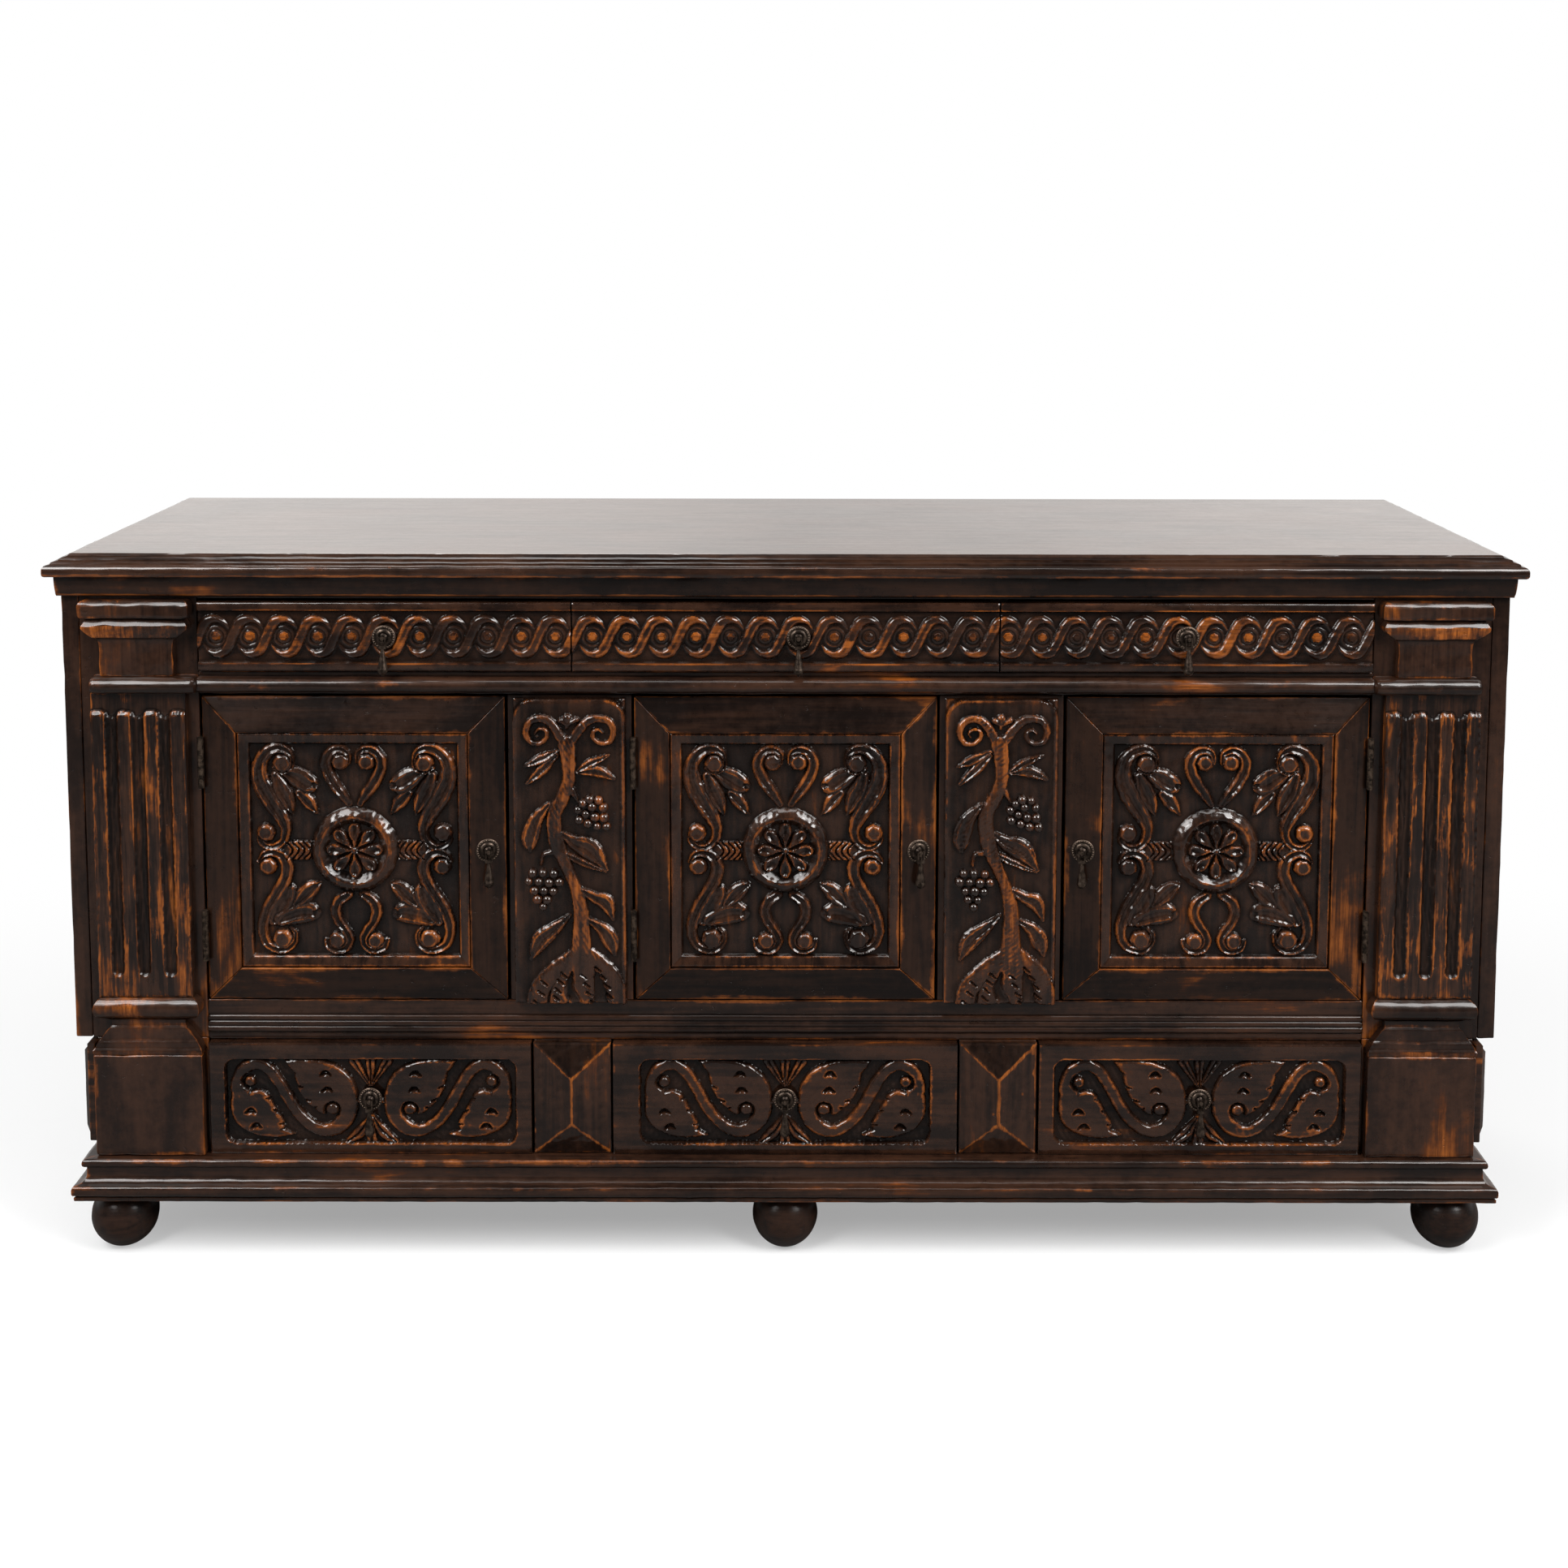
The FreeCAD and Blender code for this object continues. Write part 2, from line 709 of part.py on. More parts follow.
# Drawers. Each is a front, a box of four boards and a pendant pull.
def drawer_box(low_x, high_x, front_y, low_z, height):
    rear_y = inner_back_y - S.drawer_rear_gap
    band = (low_z, low_z + height)
    wall = S.drawer_side_board
    left = box((low_x, low_x + wall), (front_y, rear_y), band)
    right = box((high_x - wall, high_x), (front_y, rear_y), band)
    rear = box((low_x + wall, high_x - wall), (rear_y - wall, rear_y), band)
    bottom_z = low_z + S.drawer_bottom_lift
    bottom = box((low_x + wall, high_x - wall), (front_y, rear_y - wall),
                 (bottom_z, bottom_z + S.drawer_bottom_board))
    return left, right, rear, bottom


def drawer_front(x, setback, z):
    face_y = lip_y + setback
    ground_y = face_y + S.front_field_rise
    board = box(x, (ground_y, face_y + S.drawer_front_thickness), z)
    inset = S.front_field_inset
    field = box((x[0] + inset, x[1] - inset), (face_y, ground_y), (z[0] + inset, z[1] - inset))
    return fuse(board, field)


def pull(name, x, y, z, turn):
    """A round plate with a post, and a drop that swings on a pin through the post."""
    post_tip = S.post_reach + S.post_radius
    post_half = S.post_radius + S.cheek_gap
    plate = fuse(
        cylinder(S.plate_radius, S.plate_thickness, ZERO, ZERO, ZERO, ALONG_Y),
        cylinder(S.boss_radius, S.plate_thickness + S.boss_thickness, ZERO, ZERO, ZERO, ALONG_Y),
        cylinder(S.post_radius, post_tip, ZERO, ZERO, ZERO, ALONG_Y))
    bore = cylinder(S.pull_pin_radius + S.pull_clearance, post_half * 2,
                    -post_half, -S.post_reach, ZERO, ALONG_X)
    outer = post_half + S.cheek_thickness
    pin = cylinder(S.pull_pin_radius, outer * 2, -outer, -S.post_reach, ZERO, ALONG_X)
    depth = (-(S.post_reach + S.cheek_depth / 2), -(S.post_reach - S.cheek_depth / 2))
    cheek_band = (-S.cheek_length, S.cheek_depth / 2)
    cheeks = [box((-outer, -post_half), depth, cheek_band),
              box((post_half, outer), depth, cheek_band)]
    bridge_low_z = -(S.cheek_length + S.bridge_height)
    bridge = box((-outer, outer), depth, (bridge_low_z, -S.cheek_length))
    bulb_z = bridge_low_z - S.drop_neck_length
    body = doc.addObject("Part::Cone", "drop")
    bind(body, Radius1=S.bulb_radius, Radius2=S.neck_radius, Height=S.drop_neck_length)
    place(body, ZERO, -S.post_reach, bulb_z)
    bulb = sphere(S.bulb_radius, ZERO, -S.post_reach, bulb_z)
    tip = sphere(S.tip_radius, ZERO, -S.post_reach, bulb_z - S.bulb_radius)
    drop = fuse(pin, *cheeks, bridge, body, bulb, tip)
    for label, piece in ((f"{name}_plate", cut(plate, bore)), (f"{name}_drop", drop)):
        subpart(label, place(piece, x, y, z))
        bind(piece, Placement_Rotation_Angle=turn)


def make_drawer(name, x, setback, z, box_x, box_height, pull_x):
    front_back_y = lip_y + setback + S.drawer_front_thickness
    subpart(f"{name}_front", drawer_front(x, setback, z))
    low_z = z[0] - S.drawer_bottom_gap
    subpart(f"{name}_box", *drawer_box(*box_x, front_back_y, low_z, box_height))
    pull(name, pull_x, lip_y + setback, (z[0] + z[1]) / 2, ZERO)


def make_upper_drawers():
    band = (upper_z + S.drawer_bottom_gap, upper_top_z - S.upper_front_top_gap)
    joint = S.drawer_joint / 2
    near = upper_joint_x + joint
    far = corner_x - S.drawer_edge_gap
    box_near = upper_joint_x + partition_half + S.guide_gap
    box_far = corner_x - S.drawer_side_gap
    middle = upper_joint_x - joint
    box_middle = upper_joint_x - partition_half - S.guide_gap
    pull_x = (near + far) / 2
    setback = S.upper_front_setback
    height = S.upper_box_height
    make_drawer("upper_left_drawer", (-far, -near), setback, band,
                (-box_far, -box_near), height, -pull_x)
    make_drawer("upper_middle_drawer", (-middle, middle), setback, band,
                (-box_middle, box_middle), height, S.middle_pull_offset)
    make_drawer("upper_right_drawer", (near, far), setback, band,
                (box_near, box_far), height, pull_x)


def make_lower_drawers():
    band = (deck_z + S.drawer_bottom_gap, mid_rail_z - S.drawer_edge_gap / 2)
    middle = block_edge_x - S.door_gap
    near = block_far_x + S.door_gap
    far = corner_x - S.door_gap
    box_middle = middle - S.drawer_side_gap / 2
    box_near = near + S.drawer_side_gap / 2
    box_far = far - S.drawer_side_gap / 2
    pull_x = (near + far) / 2
    setback = S.lower_front_setback
    height = S.lower_box_height
    make_drawer("lower_left_drawer", (-far, -near), setback, band,
                (-box_far, -box_near), height, -pull_x)
    make_drawer("lower_middle_drawer", (-middle, middle), setback, band,
                (-box_middle, box_middle), height, ZERO)
    make_drawer("lower_right_drawer", (near, far), setback, band,
                (box_near, box_far), height, pull_x)


# Guides that keep the drawers straight, kept with the cleats under the shelves
def make_guides(cleats):
    depth = (frame_back_y, inner_back_y)
    upper_band = (upper_z, upper_z + S.guide_height)
    lower_band = (deck_z, deck_z + S.guide_height)
    upper_near = corner_x - S.drawer_side_gap + S.guide_gap
    lower_far = corner_x - S.door_gap - S.drawer_side_gap / 2 + S.guide_gap
    lower_near = block_far_x + S.door_gap + S.drawer_side_gap / 2 - S.guide_gap
    lower_middle = block_edge_x - S.door_gap - S.drawer_side_gap / 2 + S.guide_gap
    guides = [
        box((upper_near, upper_near + S.guide_width), depth, upper_band),
        box((lower_far, lower_far + S.guide_width), depth, lower_band),
        box((partition_x + partition_half, lower_near), depth, lower_band),
        box((lower_middle, partition_x - partition_half), depth, lower_band),
    ]
    subpart("guides_and_cleats", *both_sides(*guides), *cleats)


# Doors. Each is a mitred frame that rises to its inner edge, a panel with a bead, and hinges.
def mitred_frame(x, z, width, edge_back_y, outer_thickness, inner_thickness):
    middle_x = (x[0] + x[1]) / 2
    middle_z = (z[0] + z[1]) / 2
    half_across = (x[1] - x[0]) / 2
    half_up = (z[1] - z[0]) / 2
    sides = ((middle_x, z[0], half_across), (x[1], middle_z, half_up),
             (middle_x, z[1], half_across), (x[0], middle_z, half_up))
    members = []
    for turns, (at_x, at_z, half) in enumerate(sides):
        turn = FreeCAD.Rotation(Y_AXIS, -90 * turns) * UPRIGHT
        members.append(tapered((-half, half, ZERO, outer_thickness),
                               (-(half - width), half - width, ZERO, inner_thickness),
                               width, at_x, edge_back_y, at_z, turn))
    return members


def hinge_half(side, knuckles, edge_x, axis_x, low_z, rear_y):
    """One leaf with its knuckles. side is +1 where the leaf lies to the right of the pin."""
    axis_y = lip_y + S.hinge_setback
    leaf_y = axis_y + S.knuckle_radius + S.knuckle_gap
    inner_x = edge_x - S.leaf_thickness * side
    span = (inner_x, edge_x) if side > 0 else (edge_x, inner_x)
    pieces = [box(span, (leaf_y, rear_y), (low_z, low_z + S.hinge_height))]
    pitch = S.hinge_height / KNUCKLES
    for index in knuckles:
        knuckle_z = low_z + pitch * index + S.knuckle_gap / 2
        length = pitch - S.knuckle_gap
        pieces.append(cylinder(S.knuckle_radius, length, axis_x, axis_y, knuckle_z))
        pieces.append(box(span, (axis_y, leaf_y), (knuckle_z, knuckle_z + length)))
    bore = cylinder(S.hinge_pin_radius + S.hinge_clearance, S.hinge_height, axis_x, axis_y, low_z)
    return cut(fuse(*pieces), bore)


def make_door(name, x, hinge_side, frame_hinges):
    band = (door_low_z + S.door_top_gap, door_high_z - S.door_top_gap)
    edge_y = lip_y + S.door_edge_setback
    rear_y = edge_y + S.door_edge_thickness
    members = mitred_frame(x, band, S.door_frame_width, rear_y, S.door_edge_thickness,
                           S.door_edge_thickness + S.door_frame_rise)
    subpart(f"{name}_frame", *members)

    inner_x = (x[0] + S.door_frame_width, x[1] - S.door_frame_width)
    inner_z = (band[0] + S.door_frame_width, band[1] - S.door_frame_width)
    panel_y = lip_y + S.door_panel_setback
    board = box(inner_x, (panel_y, panel_y + S.door_panel_board), inner_z)
    bead = mitred_frame(inner_x, inner_z, S.sticking_width, panel_y,
                        S.sticking_rise + S.sticking_slope, S.sticking_rise)
    subpart(f"{name}_panel", board, *bead)

    gap_half = S.door_gap / 2
    door_edge_x = x[0] if hinge_side < 0 else x[1]
    axis_x = door_edge_x + gap_half * hinge_side
    stile_x = door_edge_x + S.door_gap * hinge_side
    low_levels = (band[0] + S.hinge_end_gap, band[1] - S.hinge_end_gap - S.hinge_height)
    door_knuckles = range(1, KNUCKLES, 2)
    frame_knuckles = range(0, KNUCKLES, 2)
    leaves = []
    for low_z in low_levels:
        leaves.append(hinge_half(-hinge_side, door_knuckles, door_edge_x, axis_x, low_z, rear_y))
        frame_hinges.append(hinge_half(hinge_side, frame_knuckles, stile_x, axis_x,
                                       low_z, frame_back_y))
        frame_hinges.append(cylinder(S.hinge_pin_radius, S.hinge_height, axis_x,
                                     lip_y + S.hinge_setback, low_z))
    subpart(f"{name}_hinge_leaves", *leaves)

    pull_edge_x = x[1] if hinge_side < 0 else x[0]
    pull_x = pull_edge_x + S.door_frame_width / 2 * hinge_side
    slope = Length(f"atan({written(S.door_frame_rise / S.door_frame_width)})")
    pull(name, pull_x, edge_y - S.door_frame_rise / 2, (band[0] + band[1]) / 2,
         slope * -hinge_side)


def make_doors():
    middle = door_width / 2
    far = outer_door_x + door_width
    frame_hinges = []
    make_door("left_door", (-far, -outer_door_x), -1, frame_hinges)
    make_door("middle_door", (-middle, middle), -1, frame_hinges)
    make_door("right_door", (outer_door_x, far), 1, frame_hinges)
    subpart("hinge_frame_halves", *frame_hinges)


make_top_board()
make_fascia()
make_side_panels()
make_face_frame()
make_torus_rail()
make_mid_rail()
make_vine_panels()
make_diamond_blocks()
make_capitals()
make_shafts()
make_pilaster_bases()
make_pedestals()
make_lower_sides()
make_base_moulding()
make_feet()
make_decks()
make_back()
make_partitions()
shelf_cleats = make_shelves()
make_upper_drawers()
make_lower_drawers()
make_guides(shelf_cleats)
make_doors()
doc.recompute()

faults = [thing.Label for thing in doc.Objects if {"Invalid", "Error"} & set(thing.State)]
for piece in subparts:
    if piece.Shape.isNull() or not piece.Shape.isValid():
        faults.append(piece.Label)
if faults:
    raise SystemExit(f"These did not build: {faults}")

os.makedirs("parts", exist_ok=True)
for piece in subparts:
    piece.Shape.exportStep(f"parts/{piece.Label}.step")
print(f"{len(subparts)} sub-parts, {sum(len(piece.Shape.Solids) for piece in subparts)} solids")
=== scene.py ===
"""Carved credenza: hand-carved dark wood, pendant pulls and studio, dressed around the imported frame."""
import math

import bmesh
import bpy
import numpy as np
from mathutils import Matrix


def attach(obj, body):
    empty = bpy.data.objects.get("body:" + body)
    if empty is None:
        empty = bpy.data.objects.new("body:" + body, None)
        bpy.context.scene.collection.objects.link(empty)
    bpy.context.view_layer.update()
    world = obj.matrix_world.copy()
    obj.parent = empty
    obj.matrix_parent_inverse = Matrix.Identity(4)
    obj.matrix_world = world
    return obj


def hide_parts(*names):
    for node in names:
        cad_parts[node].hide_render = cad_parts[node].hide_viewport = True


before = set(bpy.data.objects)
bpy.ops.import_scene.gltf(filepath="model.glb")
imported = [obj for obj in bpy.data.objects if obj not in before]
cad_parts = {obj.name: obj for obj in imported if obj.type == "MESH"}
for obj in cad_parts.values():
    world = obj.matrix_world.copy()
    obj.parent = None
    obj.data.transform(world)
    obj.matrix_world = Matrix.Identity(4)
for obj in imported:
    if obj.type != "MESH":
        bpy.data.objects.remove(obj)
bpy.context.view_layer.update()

# Places in millimetres, as the frame has them: x to the right, y to the back, z up from the floor
MM = 0.001
LIP_Y = -248.0  # front of the top
BASE_Y = -260.0  # front of the base
CASE_Y = -220.0  # face of the case
STILE_Y = -198.0  # back of the face frame
BACK_Y = 260.0
BASE_Z = (78.0, 128.0)  # underside and top of the base
CASE_Z = (277.0, 874.0)  # underside and top of the upper case
RAIL_Z = (722.0, 752.0)  # half-round rail
REEDS_Z = (275.0, 327.0)  # reeded rail
FRIEZE_Z = 843.0  # top of the upper drawers' row
UPPER_Z, DOOR_Z, LOWER_Z = 796.25, 524.5, 201.25  # middles of upper drawers, doors and lower drawers
UPPER_FACE_Y, DOOR_FACE_Y, LOWER_FACE_Y = -228.0, -228.0, -232.0
INNER_X = 733.0  # where the pilasters' stiles begin
PILASTER_X = 807.0
PANEL_X = 270.25  # middle of a vine panel and of the diamond block under it

DOORS = {"left_door": -540.5, "middle_door": 0.0, "right_door": 540.5}
# Left edge, right edge, middle of the pull, first eye, distance between eyes, number of eyes
UPPER_DRAWERS = {
    "upper_left_drawer": (-731.0, -267.5, -499.25, -708.4, 42.2, 11),
    "upper_middle_drawer": (-265.5, 265.5, 16.0, -240.4, 43.0, 12),
    "upper_right_drawer": (267.5, 731.0, 499.25, 276.6, 42.7, 11),
}
LOWER_DRAWERS = {
    "lower_left_drawer": (-730.0, -322.25),
    "lower_middle_drawer": (-218.25, 218.25),
    "lower_right_drawer": (322.25, 730.0),
}

EDGE_FADE = 4.4  # how far wear reaches from an edge
WELD = 0.000002


# Shapes


def waves(points, size, seed, rows=6):
    """A soft unevenness between about -1 and 1, with bumps about size millimetres long."""
    rng = np.random.default_rng(seed)
    total = np.zeros(len(points))
    for row in range(rows):
        lean = rng.normal(size=points.shape[1])
        lean *= 2 * math.pi * (0.7 + 0.25 * row) / (size * np.linalg.norm(lean))
        total += np.sin(points @ lean + rng.uniform(0, 2 * math.pi))
    return total * 1.6 / rows


class Shape:
    """Points in millimetres, faces, and wear values that paint shade where they are below zero, gathered for
    one piece.
    """

    def __init__(self):
        self.points, self.blocks, self.worn, self.count = [], [], [], 0

    def add(self, points, blocks, worn=0.0):
        """Adds points, and blocks of faces whose corners count from the first of them."""
        points = np.asarray(points, float)
        self.points.append(points)
        self.blocks += [np.atleast_2d(block) + self.count for block in blocks]
        self.worn.append(np.broadcast_to(worn, len(points)))
        self.count += len(points)

    def skin(self, grid, worn, loop_rows=False, loop_ring=False):
        """Covers a grid of rows by ring points; an open side of a tube is capped."""
        rows, ring = grid.shape[:2]
        index = np.arange(rows * ring).reshape(rows, ring)
        down = np.vstack([index, index[:1]]) if loop_rows else index
        full = np.hstack([down, down[:, :1]]) if loop_ring else down
        quads = np.stack([full[:-1, :-1], full[:-1, 1:], full[1:, 1:], full[1:, :-1]], -1)
        blocks = [quads.reshape(-1, 4)]
        if loop_ring and not loop_rows:
            blocks += [index[0], index[-1]]
        if loop_rows and not loop_ring:
            blocks += [index[:, 0], index[:, -1]]
        self.add(grid.reshape(-1, 3), blocks, np.broadcast_to(worn, (rows, ring)).ravel())

    def piece(self, name, finish, stands_for, body="root", slot="carved_wood", crease=42):
        """Turns what was gathered into a placed piece; crease is the widest angle that stays smooth."""
        points = (np.concatenate(self.points) * MM).astype(np.float32)
        corners = np.concatenate([block.ravel() for block in self.blocks])
        sizes = np.concatenate([np.full(len(b), b.shape[1]) for b in self.blocks])
        mesh = bpy.data.meshes.new(name)
        mesh.vertices.add(len(points))
        mesh.vertices.foreach_set("co", points.ravel())
        mesh.loops.add(len(corners))
        mesh.loops.foreach_set("vertex_index", corners.astype(np.int32))
        mesh.polygons.add(len(sizes))
        starts = np.concatenate([[0], np.cumsum(sizes)[:-1]])
        mesh.polygons.foreach_set("loop_start", starts.astype(np.int32))
        mesh.update(calc_edges=True)
        # Stored per point: rubbed wear above zero, painted shade in hollows below zero.
        layer = mesh.attributes.new("worn", "FLOAT", "POINT")
        layer.data.foreach_set("value", np.concatenate(self.worn).astype(np.float32))
        work = bmesh.new()
        work.from_mesh(mesh)
        bmesh.ops.remove_doubles(work, verts=work.verts, dist=WELD)
        bmesh.ops.recalc_face_normals(work, faces=work.faces)
        work.to_mesh(mesh)
        work.free()
        mesh.shade_smooth()
        mesh.set_sharp_from_angle(angle=math.radians(crease))
        return place_piece(name, mesh, finish, stands_for, body)


def place_piece(name, mesh, finish, stands_for, body):
    """Puts a mesh in the scene with its finish, on its body, for the nodes that it stands for."""
    piece = bpy.data.objects.new(name, mesh)
    bpy.context.scene.collection.objects.link(piece)
    mesh.materials.clear()
    mesh.materials.append(finish)
    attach(piece, body)
    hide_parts(*stands_for)
    return piece


def cuts(low, high, radius, cell):
    """Grid lines along one edge, close together by the corners."""
    near = (0, 0.4 * radius, radius, radius + 1.5, radius + 4, radius + 9)
    near = [d for d in near if d < (high - low) / 2 - 0.2 * radius]
    count = max(1, math.ceil((high - low - 2 * near[-1]) / cell))
    middle = np.linspace(low + near[-1], high - near[-1], count + 1)
    ends = [low + d for d in near] + [high - d for d in near]
    return np.unique(np.concatenate([middle, ends]).round(4))


def box_shell(xs, ys, zs):
    """The outside of a box on the given grid lines, as points and quads."""
    nx, ny, nz = len(xs), len(ys), len(zs)
    index = np.arange(nx * ny * nz).reshape(nx, ny, nz)
    sheets = [index[0], index[-1], index[:, 0], index[:, -1], index[:, :, 0], index[:, :, -1]]
    quads = [np.stack([s[:-1, :-1], s[1:, :-1], s[1:, 1:], s[:-1, 1:]], -1).reshape(-1, 4) for s in sheets]
    used, quads = np.unique(np.concatenate(quads), return_inverse=True)
    points = np.stack([xs[used // (ny * nz)], ys[used // nz % ny], zs[used % nz]], 1)
    return points, quads.reshape(-1, 4)


def board(shape, low, high, radius=2.0, cell=16.0, wobble=0.4, seed=1, bend=None, bare=()):
    """A board with worn, rounded edges. bend moves its points; bare lists its unworn axes."""
    unworn = 99.0
    low, high = np.array(low, float), np.array(high, float)
    points, quads = box_shell(*[cuts(a, b, radius, cell) for a, b in zip(low, high)])
    gaps = np.minimum(points - low, high - points)
    for axis in bare:
        gaps[:, axis] = unworn
    edge = np.exp(-np.sort(gaps, 1)[:, 1] / EDGE_FADE)
    inner = np.clip(points, low + radius, high - radius)
    push = points - inner
    push /= np.linalg.norm(push, axis=1)[:, None]
    sink = wobble * (0.5 + 0.4 * waves(points, 95, seed))
    sink += wobble * 1.6 * edge * np.clip(waves(points, 26, seed + 50), 0, 1)
    points = inner + push * (radius - np.clip(sink, 0, None))[:, None]
    if bend:
        points = bend(points)
    shape.add(points, [quads], edge)


def side_board(shape, side, xs, ys, zs, radius, cell, wobble, seed, bare=()):
    """A board on one side of the middle; xs are its nearer and farther face."""
    left, right = sorted(side * x for x in xs)
    board(shape, (left, ys[0], zs[0]), (right, ys[1], zs[1]), radius, cell, wobble, seed + side, bare=bare)


def round_corner(centre, radius, start, end, steps=5):
    """Points on an arc, angles in degrees."""
    turn = np.radians(np.linspace(start, end, steps))
    return [(centre[0] + radius * math.cos(t), centre[1] + radius * math.sin(t)) for t in turn]


def fill_in(rows, reach=1.4, cell=7.0):
    """Adds points beside the corners of a profile, so that wear can fade out of them."""
    full = []
    for a, b in zip(rows[:-1], rows[1:]):
        a, b = np.array(a, float), np.array(b, float)
        long = np.linalg.norm(b - a)
        stops = [0.0]
        if long > 3 * reach:
            count = max(1, math.ceil((long - 2 * reach) / cell))
            stops += list(np.linspace(reach, long - reach, count + 1) / long)
        full += [a + (b - a) * s for s in stops]
    return np.array(full + [np.array(rows[-1], float)])


def profile_wear_and_shade(flat, out_left=True, loop=False):
    """Wear along a profile: positive at corners that stand out; negative in hollows, where it paints shade.
    """
    count = len(flat)
    way = np.concatenate([[0], np.cumsum(np.linalg.norm(np.diff(flat, axis=0), axis=1))])
    total = np.zeros(count)
    inward = np.array([1.0, 0.0])
    for k in range(count):
        a, b = flat[k] - flat[k - 1], flat[(k + 1) % count] - flat[k]
        if not loop and k == 0:
            a = -inward
        if not loop and k == count - 1:
            b = inward
        turn = math.atan2(a[0] * b[1] - a[1] * b[0], a @ b)
        turn = -turn if out_left else turn
        reach = 2.2 if turn > 0 else 3.2
        total += turn / (math.pi / 2) * np.exp(-np.abs(way - way[k]) / reach)
    return np.clip(total * 0.95, -1, 1)


def around(shape, rows, half, front, back, centre=0.0, hollow=False, open_back=False,
           cell=14.0, wobble=0.6, seed=1, rubs=()):
    """Carries a profile along the left side, the front and the right side.
    Rows are side inset, front inset, back inset, height, from the lowest outer edge up.
    rubs lists bands of height that are rubbed: low, high and how much."""
    rows = fill_in(rows)
    worn = profile_wear_and_shade(rows[:, [1, 3]], True, hollow or open_back)
    outer, near_edge = rows[:, 0] < 30, 50
    for low, high, much in rubs:
        band = (rows[:, 3] > low) & (rows[:, 3] < high) & outer
        worn = np.where(band, np.maximum(worn, much), worn)
    along = (cuts(-half, half, 5, cell) + half) / (2 * half)
    deep = (cuts(front, back, 5, cell * 1.6) - front) / (back - front)
    low, high = rows[:, 3].min(), rows[:, 3].max()
    grid, wear = [], []
    for k, (side, ahead, behind, z) in enumerate(rows):
        wide, near, far = half - side, front + ahead, back - behind
        left = [(-wide, far + (near - far) * s) for s in deep]
        across = [(-wide + 2 * wide * s, near) for s in along[1:-1]]
        right = [(wide, near + (far - near) * s) for s in deep]
        flat = np.array(left + across + right)
        spot = np.column_stack([flat, np.full(len(flat), z * 1.5)])
        sink = wobble * (0.55 + 0.45 * waves(spot, 70, seed))
        sink += wobble * 1.1 * max(0.0, worn[k]) * np.clip(waves(spot, 24, seed + 9), 0, 1)
        sink = np.clip(sink, 0, None)
        corner = np.exp(-(wide - np.abs(flat[:, 0]) + flat[:, 1] - near) / EDGE_FADE) * (side < near_edge)
        wear.append(np.maximum(worn[k], corner * (0.9 if worn[k] > -0.3 else 0.3)))
        lift = np.zeros(len(flat)) if z in (low, high) else 0.35 * wobble * waves(spot, 45, seed + 4)
        at_back = np.minimum(1, np.abs(flat[:, 1] - far) / 20)
        edge_x = np.abs(np.abs(flat[:, 0]) - wide) < 0.01
        edge_y = np.abs(flat[:, 1] - near) < 0.01
        flat[:, 0] -= np.sign(flat[:, 0]) * sink * edge_x * at_back
        flat[:, 1] += sink * edge_y
        grid.append(np.column_stack([flat[:, 0] + centre, flat[:, 1], z + lift]))
    shape.skin(np.array(grid), np.array(wear), loop_rows=hollow or open_back, loop_ring=not open_back)


def along_x(shape, profile, left, right, cell=12.0, wobble=0.5, seed=1, end=2.0):
    """A bar along X with a closed profile of (y, z) points and slightly rounded ends."""
    flat = fill_in(list(profile) + [profile[0]])[:-1]
    worn = profile_wear_and_shade(flat, False, True)
    middle = flat.mean(0)
    grid = []
    for x in cuts(left, right, end, cell):
        gap = min(x - left, right - x)
        pull = 0.0 if gap >= end else end - math.sqrt(max(0.0, end * end - (end - gap) ** 2))
        reach = np.linalg.norm(flat - middle, axis=1)
        here = flat - (flat - middle) * (pull / np.maximum(reach, pull + 1))[:, None]
        spot = np.column_stack([np.full(len(here), x), here])
        sink = wobble * (0.5 + 0.4 * waves(spot, 65, seed))
        sink += wobble * np.clip(worn, 0, 1) * np.clip(waves(spot, 24, seed + 3), 0, 1)
        sink *= flat[:, 0] < flat[:, 0].max() - 0.5
        here = here - (here - middle) * (np.clip(sink, 0, None) / np.maximum(reach, 1))[:, None]
        grid.append(np.column_stack([np.full(len(here), x), here]))
    shape.skin(np.array(grid), worn[None, :], loop_ring=True)


def turned(shape, profile, centre, axis="z", segments=48, wobble=0.0, seed=1):
    """A piece turned on a lathe; profile rows are radius and height."""
    nominal = 42
    flat = fill_in(profile, 0.8, 5.0)
    worn = profile_wear_and_shade(flat * np.array([-1, 1]), True, False)
    turn = np.linspace(0, 2 * math.pi, segments, endpoint=False)
    grid = []
    for radius, height in flat:
        ring = np.column_stack([radius * np.cos(turn), radius * np.sin(turn), np.full(segments, height)])
        if wobble:
            ring[:, :2] *= (1 - wobble * (0.5 + 0.5 * waves(ring, 30, seed)) / nominal)[:, None]
        if axis == "y":
            ring = ring[:, [0, 2, 1]] * np.array([1, -1, 1])
        grid.append(ring + np.array(centre))
    shape.skin(np.array(grid), worn[:, None], loop_ring=True)


# Carving


def soften(field, steps):
    """A soft blur over a grid, steps grid cells wide."""
    reach = int(3 * steps) + 1
    weights = np.exp(-0.5 * (np.arange(-reach, reach + 1) / steps) ** 2)
    weights /= weights.sum()
    for axis in (0, 1):
        pads = [(reach, reach) if a == axis else (0, 0) for a in (0, 1)]
        wide = np.pad(field, pads, mode="edge")
        size = field.shape[axis]
        field = sum(w * np.take(wide, range(k, k + size), axis) for k, w in enumerate(weights))
    return field


